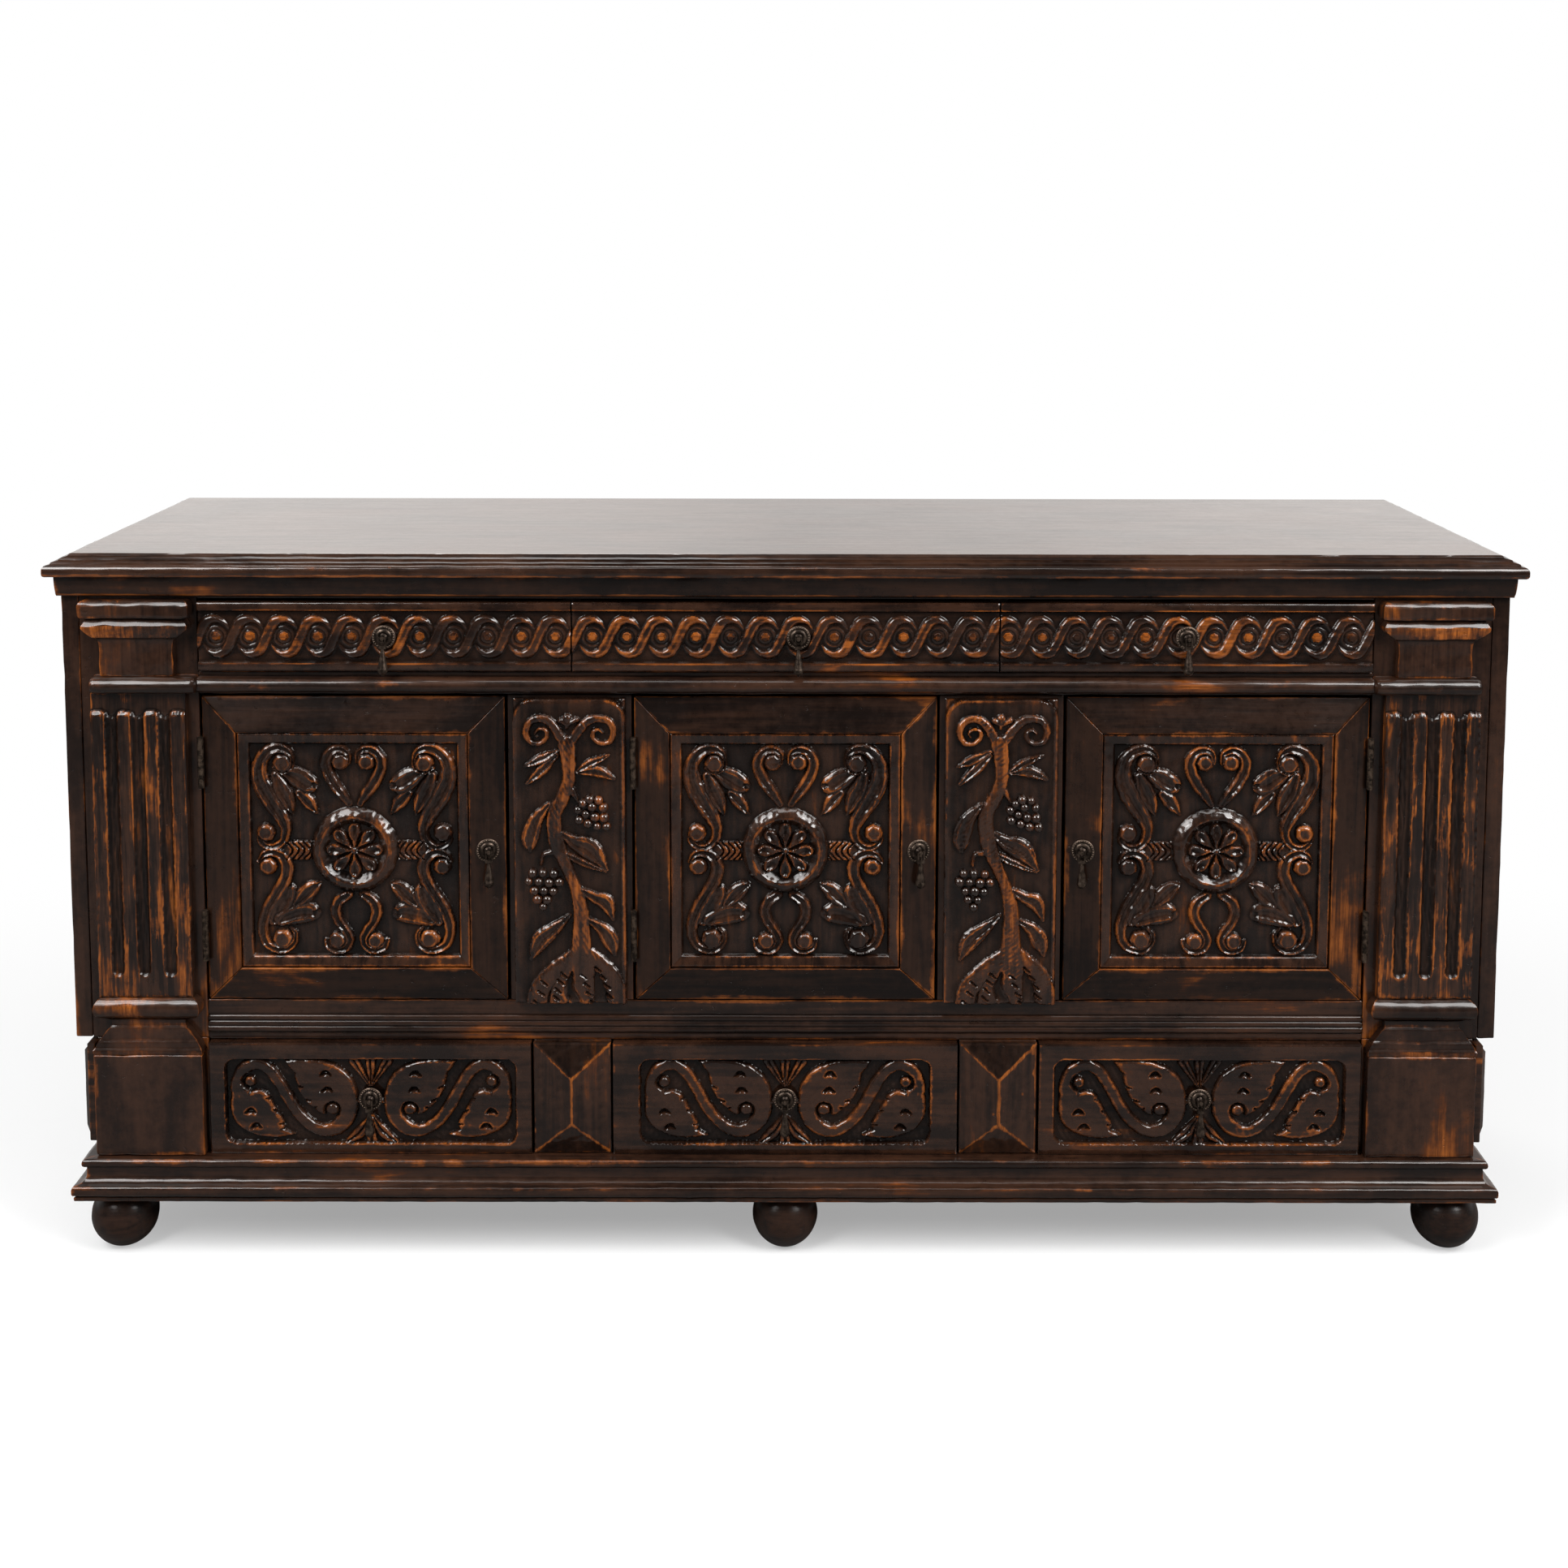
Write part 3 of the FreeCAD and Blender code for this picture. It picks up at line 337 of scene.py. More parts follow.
def smooth_line(points, widths, steps=7):
    """A curve through the points, with its half widths."""
    thinnest = 0.3
    spread = np.interp(np.linspace(0, 1, len(points)), np.linspace(0, 1, len(widths)), widths)
    rows = np.column_stack([points, spread])
    ends = np.vstack([2 * rows[0] - rows[1], rows, 2 * rows[-1] - rows[-2]])
    path = []
    for k in range(len(rows) - 1):
        a, b, c, d = ends[k:k + 4]
        for s in np.linspace(0, 1, steps, endpoint=False):
            path.append(0.5 * (2 * b + (c - a) * s + (2 * a - 5 * b + 4 * c - d) * s * s
                               + (3 * b - a - 3 * c + d) * s ** 3))
    path = np.array(path + [rows[-1]])
    path[:, 2] = np.maximum(path[:, 2], thinnest)
    return path


def step(value):
    """A smooth step from 0 to 1."""
    value = np.clip(value, 0, 1)
    return value * value * (3 - 2 * value)


def crest(distance, width):
    """A soft rounded crest, 1 where distance is 0."""
    return np.exp(-((distance / width) ** 2))


def cross_section(form, side, wide, along):
    """The height of a band, from 0 at its edges to about 1: side runs from -1 to 1 across it,
    along from 0 to 1 down its length, and wide is its half width."""
    s = np.clip(np.abs(side), 0, 1)
    inside = (1 - s) * wide
    wall = np.clip(inside / 1.3, 0, 1)
    if form == "round":
        return np.sqrt(1 - s * s) ** 0.8
    if form == "flat":
        return 0.62 * wall + 0.38 * np.clip((inside - 0.6) / 3.0, 0, 1)
    if form == "hollow":
        dip = 0.4 * step((0.62 - s) / 0.5)
        return 0.4 * wall + 0.6 * np.clip((1 - s) / 0.45, 0, 1) - dip + 0.1 * np.clip(side, -1, 1)
    if form == "dished":
        dip = 0.5 * step((0.7 - s) / 0.7) * step((along - 0.3) / 0.5)
        return 0.5 * wall + 0.5 * np.clip((1 - s) / 0.3, 0, 1) - dip
    if form == "ridge":
        return np.clip(inside / 1.4, 0, 1) * (0.55 + 0.45 * (1 - s))
    if form == "grooved":
        return wall * (1 - 0.35 * s * s) * (1 - 0.55 * crest(s, 0.22))
    if form == "strand":
        height = 0.4 * wall + 0.6 * np.clip((inside - 0.5) / 3.2, 0, 1)
        return height * (0.35 + 0.65 * step(np.minimum(along, 1 - along) * 5))
    return 1 - s * s


class Carving:
    """A carved face as a height above its ground, in millimetres, over a fine grid."""

    def __init__(self, width, height, cell, seed, shake=0.45):
        self.us = np.linspace(-width / 2, width / 2, round(width / cell) + 1)
        self.vs = np.linspace(-height / 2, height / 2, round(height / cell) + 1)
        self.u, self.v = np.meshgrid(self.us, self.vs)
        self.rise = np.zeros(self.u.shape)
        self.rubbed = np.zeros(self.u.shape)
        self.seed = seed
        spot = np.column_stack([self.u.ravel(), self.v.ravel()])
        self.shaken_u = self.u + shake * waves(spot, 17, seed).reshape(self.u.shape)
        self.shaken_v = self.v + shake * waves(spot, 15, seed + 1).reshape(self.u.shape)
        self.spot = spot

    def field(self, size, seed, rows=6):
        """An unevenness over the whole face."""
        return waves(self.spot, size, self.seed + seed, rows).reshape(self.u.shape)

    def stroke(self, points, widths, rise, form="round", lift=0.0, cut=False, rub=0.0):
        """One gouge-cut band or leaf. It rises from the ground, over what is lower, or is cut into it.
        rub is how far its top is rubbed; below zero it darkens the band instead."""
        path = smooth_line(points, widths)
        side = np.full(self.u.shape, 9.0)
        wide = np.ones(self.u.shape)
        along = np.zeros(self.u.shape)
        for k, (a, b) in enumerate(zip(path[:-1], path[1:])):
            reach = max(a[2], b[2]) + 1.5
            i0, i1 = np.searchsorted(self.us, [min(a[0], b[0]) - reach, max(a[0], b[0]) + reach])
            j0, j1 = np.searchsorted(self.vs, [min(a[1], b[1]) - reach, max(a[1], b[1]) + reach])
            if i0 >= i1 or j0 >= j1:
                continue
            part = (slice(j0, j1), slice(i0, i1))
            pu, pv = self.shaken_u[part] - a[0], self.shaken_v[part] - a[1]
            du, dv = b[:2] - a[:2]
            share = np.clip((pu * du + pv * dv) / max(1e-6, du * du + dv * dv), 0, 1)
            width = a[2] + (b[2] - a[2]) * share
            ratio = np.hypot(pu - share * du, pv - share * dv) / width
            near = ratio < np.abs(side[part])
            sign = np.where(du * pv - dv * pu < 0, -1, 1)
            side[part] = np.where(near, ratio * sign, side[part])
            wide[part] = np.where(near, width, wide[part])
            along[part] = np.where(near, (k + share) / (len(path) - 1), along[part])
        inside = np.abs(side) < 1
        s = np.clip(np.abs(side), 0, 1)
        rubbed = rub if rub < 0 else np.maximum(self.rubbed, rub)
        self.rubbed = np.where(inside & (s < 0.9), rubbed, self.rubbed)
        ends = np.minimum(1, 5 * (1 - along) + 0.35) if form in ("hollow", "ridge") else 1.0
        height = np.where(inside, cross_section(form, side, wide, along) * rise * ends + lift, 0)
        if cut:
            self.rise = np.where(inside, self.rise - height, self.rise)
        else:
            self.rise = np.where(inside, np.maximum(self.rise, height), self.rise)

    def boss(self, centre, radius, rise, sides=7, top=0.6, turn=0.4):
        """A round boss, its flat top cut with a few facets."""
        du, dv = self.shaken_u - centre[0], self.shaken_v - centre[1]
        angle = np.arctan2(dv, du) + turn
        far = np.hypot(du, dv)
        facet_angle = 2 * math.pi / sides
        facet = far * np.cos(angle % facet_angle - facet_angle / 2) / math.cos(facet_angle / 2)
        gap = radius - np.maximum(far, 0.5 * (far + facet))
        shoulder = np.clip((gap - 0.4) / (radius * (1 - top)), 0, 1)
        height = rise * (0.45 * np.clip(gap / 0.8, 0, 1) + 0.55 * shoulder)
        height -= 0.07 * rise * np.clip(1 - far / (radius * top), 0, 1)
        self.rise = np.where(far < radius, np.maximum(self.rise, height), self.rise)

    def frame_edge(self):
        """How far each point is from the edge of the face."""
        return np.minimum(self.us[-1] - np.abs(self.u), self.vs[-1] - np.abs(self.v))

    def onto(self, shape, put, thick, crisp=0.42, broad=2.6, edge=0.8, ground_shade=0.0, ground=0.0):
        """Adds the carved slab to a shape. put turns u, v and height into a place, crisp and broad are the
        heights that fine and wide relief is rubbed over. Hollows in the relief get painted shade, and the
        ground shade weight paints extra shade on the low ground near the height ground."""
        cell = self.us[1] - self.us[0]
        fine = (self.rise - soften(self.rise, 1.5 / cell)) / crisp
        wide = (self.rise - soften(self.rise, 7.0 / cell)) / broad
        # Above zero, fine and wide relief mark rubbed wear; below zero they paint shade into hollows.
        worn = np.clip(0.75 * fine, -1, 1) + 0.42 * np.clip(wide, -1, 1) + self.rubbed
        worn += edge * np.exp(-self.frame_edge() / 2.2)
        # Painted shade on the sunk ground, where the carving lies low.
        worn -= ground_shade * step((ground + 1.6 - self.rise) / 1.2) * (worn < 0.3)
        worn = np.clip(worn, -1, 1)
        rows, ring = self.u.shape
        index = np.arange(rows * ring).reshape(rows, ring)
        quads = np.stack([index[:-1, :-1], index[:-1, 1:], index[1:, 1:], index[1:, :-1]], -1).reshape(-1, 4)
        rim = np.concatenate([index[0, :-1], index[:-1, -1], index[-1, :0:-1], index[:0:-1, 0]])
        front = put(self.u.ravel(), self.v.ravel(), self.rise.ravel())
        rear = put(self.u.ravel()[rim], self.v.ravel()[rim], np.full(len(rim), -thick))
        behind = rows * ring + np.arange(len(rim))
        wall = np.stack([rim, np.roll(rim, -1), np.roll(behind, -1), behind], -1)
        shape.add(np.vstack([front, rear]), [quads, wall, behind],
                  np.concatenate([worn.ravel(), np.zeros(len(rim))]))


def facing_front(x, y, z):
    """Places a carved face in the front, its middle at x, y, z."""
    return lambda u, v, height: np.column_stack([x + u, y - height, z + v])


# Finishes


class Nodes:
    """Short calls that build a shader tree."""

    def __init__(self, tree):
        self.tree = tree
        self.nodes = tree.nodes
        self.nodes.clear()

    def add(self, kind, inputs, out=0, **settings):
        """Adds a node, sets or joins its inputs and gives the output asked for."""
        node = self.nodes.new("ShaderNode" + kind)
        for key, value in settings.items():
            setattr(node, key, value)
        for key, value in inputs.items():
            if isinstance(value, bpy.types.NodeSocket):
                self.tree.links.new(value, node.inputs[key])
            else:
                node.inputs[key].default_value = value
        return node.outputs[out]

    def sum(self, *terms):
        """Adds terms, each a value or a pair of a value and what it is multiplied by."""
        total = None
        for term in terms:
            value, scale = term if isinstance(term, tuple) else (term, 1.0)
            if total is None and scale == 1.0 and isinstance(value, bpy.types.NodeSocket):
                total = value
            else:
                plus = 0.0 if total is None else total
                total = self.add("Math", {0: value, 1: scale, 2: plus}, operation="MULTIPLY_ADD")
        return total

    def times(self, a, b):
        return self.add("Math", {0: a, 1: b}, operation="MULTIPLY")

    def between(self, value, low, high, start=0.0, end=1.0, kind="SMOOTHSTEP"):
        """Turns low..high into start..end."""
        limits = {"From Min": low, "From Max": high, "To Min": start, "To Max": end}
        return self.add("MapRange", {"Value": value, **limits}, interpolation_type=kind)

    def blend(self, share, a, b):
        return self.add("Mix", {0: share, 6: a, 7: b}, out=2, data_type="RGBA")

    def noise(self, place, size, detail=4.0, rough=0.55, twist=0.0):
        """Noise whose bumps are about size metres long."""
        look = {"Scale": 1.0 / size, "Detail": detail, "Roughness": rough, "Distortion": twist}
        return self.add("TexNoise", {"Vector": place, **look})

    def stretched(self, place, scale):
        return self.add("Mapping", {"Vector": place, "Scale": scale})

    def show(self, kind, surface):
        out = self.nodes.new("ShaderNodeOutput" + kind)
        self.tree.links.new(surface, out.inputs["Surface"])


class Finish(Nodes):
    """A material under construction."""

    def __init__(self, name):
        self.material = bpy.data.materials.new(name)
        self.material.use_nodes = True
        super().__init__(self.material.node_tree)

    def surface(self, colour, rough, bump, **fixed):
        inputs = {"Base Color": colour, "Roughness": rough, "Normal": bump}
        inputs.update({key.replace("_", " "): value for key, value in fixed.items()})
        self.show("Material", self.add("BsdfPrincipled", inputs))
        return self.material


STAIN = (0.0078, 0.0038, 0.0026, 0.8), (0.0340, 0.0152, 0.0086, 0.8)
RUBBED = (0.036, 0.0105, 0.0030, 1), (0.105, 0.030, 0.006, 1)
BARE = (0.12, 0.034, 0.006, 1), (0.28, 0.085, 0.014, 1)
VARNISH = (1.0, 0.86, 0.76, 1)
MOULDING_FROM = 0.8884  # metres up, where the top's stepped edge begins


def brushed_wood(name, run, cut=0.85, bare=0.62, tone=1.05, dents=0.35, coat=0.42, shine=0.16, rough=0.2,
                 grainy=0.9, tooled=0.0, clouds=0.11, polish=0.12, mottle=1.0, streaky=1.0,
                 streak_size=0.0085, flat_from=None):
    """Espresso stain rubbed through to orange-brown wood at edges and in brushed patches, with painted shade
    that darkens hollows.
    run is the axis of the grain; ends of boards turn it to the depth of the piece.
    More cut means less wear at edges, and more bare fewer patches. Sizes are in metres.
    flat_from is the height where the top's flat face begins; its stepped edge below that is dull."""
    f = Finish(name)
    place = f.add("TexCoord", {}, out=3)
    thin, long = 1.0, 0.055
    scales = {"x": (long, thin, thin), "z": (thin, thin, long), "y": (thin, long, thin)}
    grain_place = f.stretched(place, scales[run])
    if run == "x":
        normal = f.add("SeparateXYZ", {"Vector": f.add("NewGeometry", {}, out=1)})
        sideways = f.between(f.add("Math", {0: normal}, operation="ABSOLUTE"), 0.7, 0.8)
        ends = f.stretched(place, scales["y"])
        grain_place = f.add("Mix", {0: sideways, 4: grain_place, 5: ends}, out=1, data_type="VECTOR")
    worn = f.add("Attribute", {}, out=2, attribute_name="worn")
    patch = f.noise(place, 0.085, 3.0)
    half_stretched = [0.45 if s < 1 else 1.0 for s in scales[run]]
    cloud = f.noise(f.stretched(place, half_stretched), clouds, 4.0, 0.55, 0.6)
    breakup = f.noise(place, 0.011, 5.0, 0.65)
    streak = f.noise(grain_place, streak_size, 5.0, 0.62, 0.3)
    pores = f.noise(grain_place, 0.0022, 3.0, 0.6)
    out = f.add("Math", {0: worn, 1: 0.0}, operation="MAXIMUM")
    on_edge = f.between(out, 0.02, 0.3, -1.3, 0.0)
    drift = 0.6 * streaky
    streaks = (streak, 1.2 * streaky)
    edge_level = f.sum((out, 1.1), (patch, 2.4), (breakup, 1.1), streaks, on_edge, -1.75 - drift - cut)
    bare_level = f.sum((cloud, 5.0), streaks, (breakup, 0.5), (out, 0.2), -2.75 - drift - bare)
    level = f.add("Math", {0: edge_level, 1: bare_level}, operation="MAXIMUM")
    rubbed = f.between(level, 0.0, 0.42)
    glow = f.between(level, 0.12, 0.85)
    smoke = f.sum((streak, drift), (cloud, 0.8), (breakup, 0.3), -0.05 - 0.3 * streaky)
    dark = f.blend(f.between(smoke, 0.34, 0.65), *[[tone * c for c in stain] for stain in STAIN])
    middle = f.blend(f.between(streak, 0.35, 0.65), *RUBBED)
    bright = f.blend(f.between(f.sum((pores, 0.6), (streak, 0.4)), 0.4, 0.6), *BARE)
    colour = f.blend(rubbed, dark, middle)
    colour = f.blend(f.times(rubbed, glow), colour, bright)
    # Painted shade: the colour is multiplied down to 0.4 where the mesh's wear attribute runs below zero, in
    # hollows.
    hollow = f.between(worn, -0.8, 0.05, 0.4, 1.0)
    colour = f.add("Mix", {0: 1.0, 6: colour, 7: hollow}, out=2, data_type="RGBA", blend_type="MULTIPLY")
    pits = f.times(f.between(f.noise(place, 0.0085, 2.0, 0.5), 0.67, 0.70), f.between(patch, 0.48, 0.6))
    relief = f.sum((streak, 0.55 * streaky), (pores, 0.2), (breakup, 0.4), (pits, -dents * 4),
                   (rubbed, -0.25))
    if tooled:
        relief = f.sum((f.noise(place, 0.0065, 2.0, 0.4), tooled), relief)
    bump = f.add("Bump", {"Strength": grainy, "Distance": 0.0005, "Height": relief})
    gloss = f.sum((breakup, 0.28 * mottle), (patch, 0.25 * mottle), rough + 0.135 - 0.265 * mottle)
    if flat_from is None:
        coat = f.between(worn, -0.8, 0.05, 0.3 * coat, coat)
    else:
        height = f.add("SeparateXYZ", {"Vector": place}, out=2)
        below_face = f.between(height, flat_from - 0.0008, flat_from, 1.0, 0.0)
        dull = f.times(f.between(height, MOULDING_FROM, MOULDING_FROM + 0.0008), below_face)
        brushed = f.between(streak, 0.36, 0.64, 0.88 * coat, 1.04 * coat)
        coat = f.between(dull, 0.0, 1.0, brushed, 0.06)
        shine = f.between(dull, 0.0, 1.0, shine, 0.05)
    return f.surface(colour, gloss, bump, Specular_IOR_Level=shine, Coat_Weight=coat, Coat_Roughness=polish,
                     Coat_IOR=1.6, Coat_Tint=VARNISH)


def plain_wood(name, low, high, rough):
    """Unstained, unvarnished boards inside the case."""
    f = Finish(name)
    place = f.add("TexCoord", {}, out=3)
    grain = f.noise(f.stretched(place, (0.06, 1, 0.8)), 0.009, 6.0, 0.6, 0.4)
    pores = f.noise(f.stretched(place, (0.08, 1, 1)), 0.0018, 3.0)
    cloud = f.noise(place, 0.2)
    colour = f.blend(f.between(f.sum((grain, 0.8), (cloud, 0.5), -0.15), 0.3, 0.7), low, high)
    bump = f.add("Bump", {"Strength": 0.5, "Distance": 0.0003, "Height": f.sum((grain, 0.6), (pores, 0.4))})
    return f.surface(colour, f.sum((cloud, 0.15), rough), bump, Specular_IOR_Level=0.35)


def old_metal(name, dark, light, rough):
    """Cloudy aged metal, lighter where it is worn."""
    f = Finish(name)
    place = f.add("TexCoord", {}, out=3)
    cloud = f.noise(place, 0.006, 4.0)
    speck = f.noise(place, 0.0012, 4.0, 0.7)
    worn = f.add("Attribute", {}, out=2, attribute_name="worn")
    share = f.between(f.sum((cloud, 1.0), (speck, 0.5), (worn, 0.25), -0.3), 0.3, 0.62)
    bump = f.add("Bump", {"Strength": 0.6, "Distance": 0.00025, "Height": f.sum((cloud, 0.7), (speck, 0.3))})
    return f.surface(f.blend(share, dark, light), f.sum((speck, 0.2), rough), bump, Metallic=0.85)


LEVEL = brushed_wood("espresso_wood_level", "x", cut=0.55, bare=0.54, dents=0.5, coat=0.5)
UPRIGHT = brushed_wood("espresso_wood_upright", "z", cut=0.46, bare=0.5, coat=0.48)
SIDES = brushed_wood("espresso_wood_sides", "z", cut=0.9, bare=0.5, coat=0.42, streaky=0.6)
BLOCKS = brushed_wood("espresso_wood_blocks", "z", cut=0.5, bare=0.3, tone=1.25, coat=0.42, streaky=0.3,
                      clouds=0.09)
# The fascia's lower tone is painted shade under the top's overhang.
FASCIA = brushed_wood("espresso_wood_fascia", "x", cut=0.5, bare=0.6, tone=0.8, coat=0.3, streaky=0.7)
FEET = brushed_wood("espresso_wood_feet", "x", cut=0.9, bare=0.7, tone=0.95, coat=0.25, rough=0.3,
                    polish=0.25)
DOOR_LEVEL = brushed_wood("espresso_wood_door_rails", "x", cut=0.6, bare=0.6, tone=0.6, coat=0.26, dents=0.8)
DOOR_UPRIGHT = brushed_wood("espresso_wood_door_stiles", "z", cut=0.6, bare=0.56, tone=0.62, coat=0.26,
                            dents=0.5)
TOP = brushed_wood("espresso_wood_top", "x", cut=0.6, bare=2.0, dents=0.3, coat=0.55, shine=0.3, rough=0.1,
                   grainy=0.3, mottle=0.35, flat_from=0.8996)
CARVED = brushed_wood("espresso_wood_carved", "z", cut=0.76, bare=0.7, dents=0.1, coat=0.65, shine=0.16,
                      rough=0.13, tooled=0.45, clouds=0.04)
GRAPES = brushed_wood("espresso_wood_grapes", "z", cut=0.75, bare=0.5, tone=1.0, dents=0.0, coat=1.0,
                      shine=0.3, rough=0.14, grainy=0.15, polish=0.16, clouds=0.04)
FRIEZE = brushed_wood("espresso_wood_frieze", "x", cut=0.7, bare=0.9, dents=0.1, coat=0.65, shine=0.16,
                      rough=0.14, tooled=0.3, clouds=0.04)
LOWER_FRONT = brushed_wood("espresso_wood_lower_fronts", "x", cut=0.8, bare=0.75, tone=0.95, dents=0.1,
                           coat=0.6, shine=0.16, rough=0.14, tooled=0.5, clouds=0.06)
SHAFT = brushed_wood("espresso_wood_shaft", "z", cut=0.7, bare=0.5, tone=0.9, coat=0.5, clouds=0.06,
                     streaky=1.9, streak_size=0.0055)
INSIDE = plain_wood("inside_wood", (0.052, 0.026, 0.013, 1), (0.13, 0.07, 0.034, 1), 0.5)
BRONZE = old_metal("aged_bronze", (0.022, 0.015, 0.011, 1), (0.105, 0.074, 0.055, 1), 0.27)
IRON = old_metal("dark_iron", (0.016, 0.011, 0.008, 1), (0.12, 0.082, 0.058, 1), 0.34)


# Top, fascia and base


def make_top():
    edge = [(3.0, 874.0), (1.2, 874.8), (0.3, 876.6), (0.0, 879.0),
            (0.0, 883.2), (0.7, 885.8), (2.2, 887.6), (4.4, 888.4)]
    edge += [(7.0, 888.6), (7.8, 889.0), (8.4, 891.2), (14.6, 892.8), (15.4, 893.2),
             (16.0, 895.2), (22.8, 896.8), (23.8, 897.2)]
    edge += [(24.4, 898.2), (25.4, 899.5), (27.4, 900.0), (29.4, 900.0), (60.0, 900.0)]
    shape = Shape()
    around(shape, [(i, i, 0, z) for i, z in edge], 915, LIP_Y, BACK_Y, wobble=1.0, cell=9, seed=11,
           rubs=[(874.5, 877.4, 1.0)])
    shape.piece("top_board_moulded", TOP, ["top_board"])
    shape = Shape()
    outer = [(1.7, 6.4, 848.0), (1.4, 5.2, 848.8), (1.2, 4.3, 850.2), (0.6, 2.2, 860.0), (0.0, 0.4, 873.9)]
    outer += [(2.9, 16, 873.9), (2.9, 16, 848.0)]
    rows = [(beside, ahead, 0, z) for beside, ahead, z in outer]
    around(shape, rows, 905, -236, BACK_Y, open_back=True, wobble=1.2, seed=12, rubs=[(847, 850.8, 0.95)])
    shape.piece("fascia_strips", FASCIA, ["fascia_moulding"])


def make_base():
    edge = [(2.6, 78.0), (2.0, 78.8), (2.0, 82.4), (4.0, 83.3),
            (4.0, 84.9), (1.2, 85.3), (0.2, 86.8), (0.0, 89.0)]
    edge += [(0.0, 93.6), (0.6, 95.8), (2.0, 97.0), (3.8, 97.3)]
    edge += [(8.6, 98.0), (11.6, 99.4), (13.6, 101.8), (14.7, 105.0),
             (15.0, 108.0), (15.0, 111.4), (15.0, 117.6)]
    edge += [(12.2, 118.2), (10.4, 120.2), (10.0, 123.0), (10.4, 125.8), (12.2, 127.6), (14.2, 128.0)]
    inner = 60
    rows = [(i, i, 0, z) for i, z in edge] + [(inner, inner, inner, z) for z in BASE_Z[::-1]]
    shape = Shape()
    around(shape, rows, 900, BASE_Y, BACK_Y, hollow=True, wobble=0.9, cell=9, seed=21)
    shape.piece("base_moulding_run", LEVEL, ["base_moulding"])


def make_feet():
    radius, middle = 42, 40
    shape = Shape()
    ball = [(28.0, BASE_Z[0]), (28.0, 73.5), (27.0, 72.6), (25.5, 72.2)]
    arc = np.radians(np.linspace(50, -72.25, 26))
    ball += [(radius * math.cos(t), middle + radius * math.sin(t)) for t in arc]
    ball = [(0.0, BASE_Z[0])] + ball + [(0.0, ball[-1][1])]
    ball = [(r, max(0.0, z)) for r, z in ball[::-1]]
    for k, x in enumerate((-850, 0, 850)):
        for y in (-208, 208):
            turned(shape, ball, (x, y, 0), wobble=0.6, seed=30 + k)
    shape.piece("turned_ball_feet", FEET, ["ball_feet"])


# Case


def make_case():
    shape = Shape()
    for side in (-1, 1):
        side_board(shape, side, (880, 902), (CASE_Y, BACK_Y), CASE_Z, 2.2, 20, 0.7, 41)
    shape.piece("case_sides", SIDES, ["side_panels"])
    shape = Shape()
    level = (0, 2)
    board(shape, (-INNER_X, CASE_Y, FRIEZE_Z), (INNER_X, STILE_Y, CASE_Z[1]), 1.0, 20, 0.3, 43, bare=level)
    for seed, left in ((44, 255.5), (45, -277.5)):
        board(shape, (left, -210, RAIL_Z[1]), (left + 22, STILE_Y, FRIEZE_Z), 1.0, 20, 0.3, seed, bare=level)
    stiles = [
        ((INNER_X, 880), CASE_Z, 47),
        ((INNER_X, 875), (BASE_Z[1], CASE_Z[0]), 50),
        ((192.5, 348), (REEDS_Z[1], RAIL_Z[0]), 53),
        ((221.25, 319.25), (BASE_Z[1], REEDS_Z[0]), 56),
    ]
    for side in (-1, 1):
        for xs, zs, seed in stiles:
            side_board(shape, side, xs, (CASE_Y, STILE_Y), zs, 1.4, 16, 0.5, seed, bare=level)
    shape.piece("face_frame_boards", SIDES, ["face_frame"])


def make_rails():
    """The half-round rail with an astragal across each pilaster, and the reeded rail."""
    shape = Shape()
    roll = [(-198, 722), (-198, 752), (-219.6, 752), (-220, 751.4), (-220, 746)]
    roll += round_corner((-226, 735), 10, 100, 262, 12) + [(-220, 724), (-220, 722.6), (-219.6, 722)]
    along_x(shape, roll, -INNER_X, INNER_X, wobble=1.3, seed=61)
    for side in (-1, 1):
        bar = [(-220, 725), (-220, 747)] + round_corner((-233, 736), 11, 90, 270, 13)
        low, high = sorted((side * 731.5, side * 864))
        along_x(shape, bar, low, high, cell=7, wobble=1.3, seed=62 + side, end=5.0)
    shape.piece("half_round_rail", LEVEL, ["torus_rail"])
    shape = Shape()
    reeds = [(-198, 275), (-198, 327), (-219.5, 327), (-220, 326.3), (-220, 309), (-219.2, 307.6)]
    for z in (303.2, 295.6, 288.0):
        reeds += [(-220 - 0.6 * (-220 - y), h) for y, h in round_corner((-220, z), 3.75, 110, 250, 7)]
    reeds += [(-219.2, 283.6), (-220, 282.4), (-220, 275.7), (-219.5, 275)]
    along_x(shape, reeds, -INNER_X, INNER_X, wobble=0.7, seed=66)
    shape.piece("reeded_rail", LEVEL, ["reeded_mid_rail"])


def make_capitals():
    capital = [(23.5, 9.2, 747), (23, 9, 749), (22.4, 9, 762), (23.6, 9.3, 776),
               (22.8, 9, 788), (21.4, 8.6, 793.4), (18.6, 6.4, 795.2)]
    capital += [(16.8, 4.2, 796.6), (9.0, 2.9, 802.2), (3.2, 2.5, 806.6),
                (2.4, 2.2, 808.6), (2.4, 2.3, 811.2), (3.6, 3.2, 812.4)]
    capital += [(7.2, 7.0, 817.8), (8.0, 8.4, 819.2), (8.0, 8.4, 820.2),
                (2.8, 3.0, 820.8), (1.0, 0.9, 821.8), (0.2, 0.2, 824.4)]
    capital += [(0, 0, 836.8), (0.9, 0.9, 839.0), (3.4, 3.4, 842.0), (5.8, 5.6, 843)]
    shape = Shape()
    for side in (-1, 1):
        around(shape, [(s, f, 0, z) for s, f, z in capital], 69, -240, CASE_Y, side * PILASTER_X, wobble=1.5,
               cell=7, seed=71 + side, rubs=[(796, 811.6, 0.8)])
    shape.piece("capitals_cut", UPRIGHT, ["pilaster_capitals"])


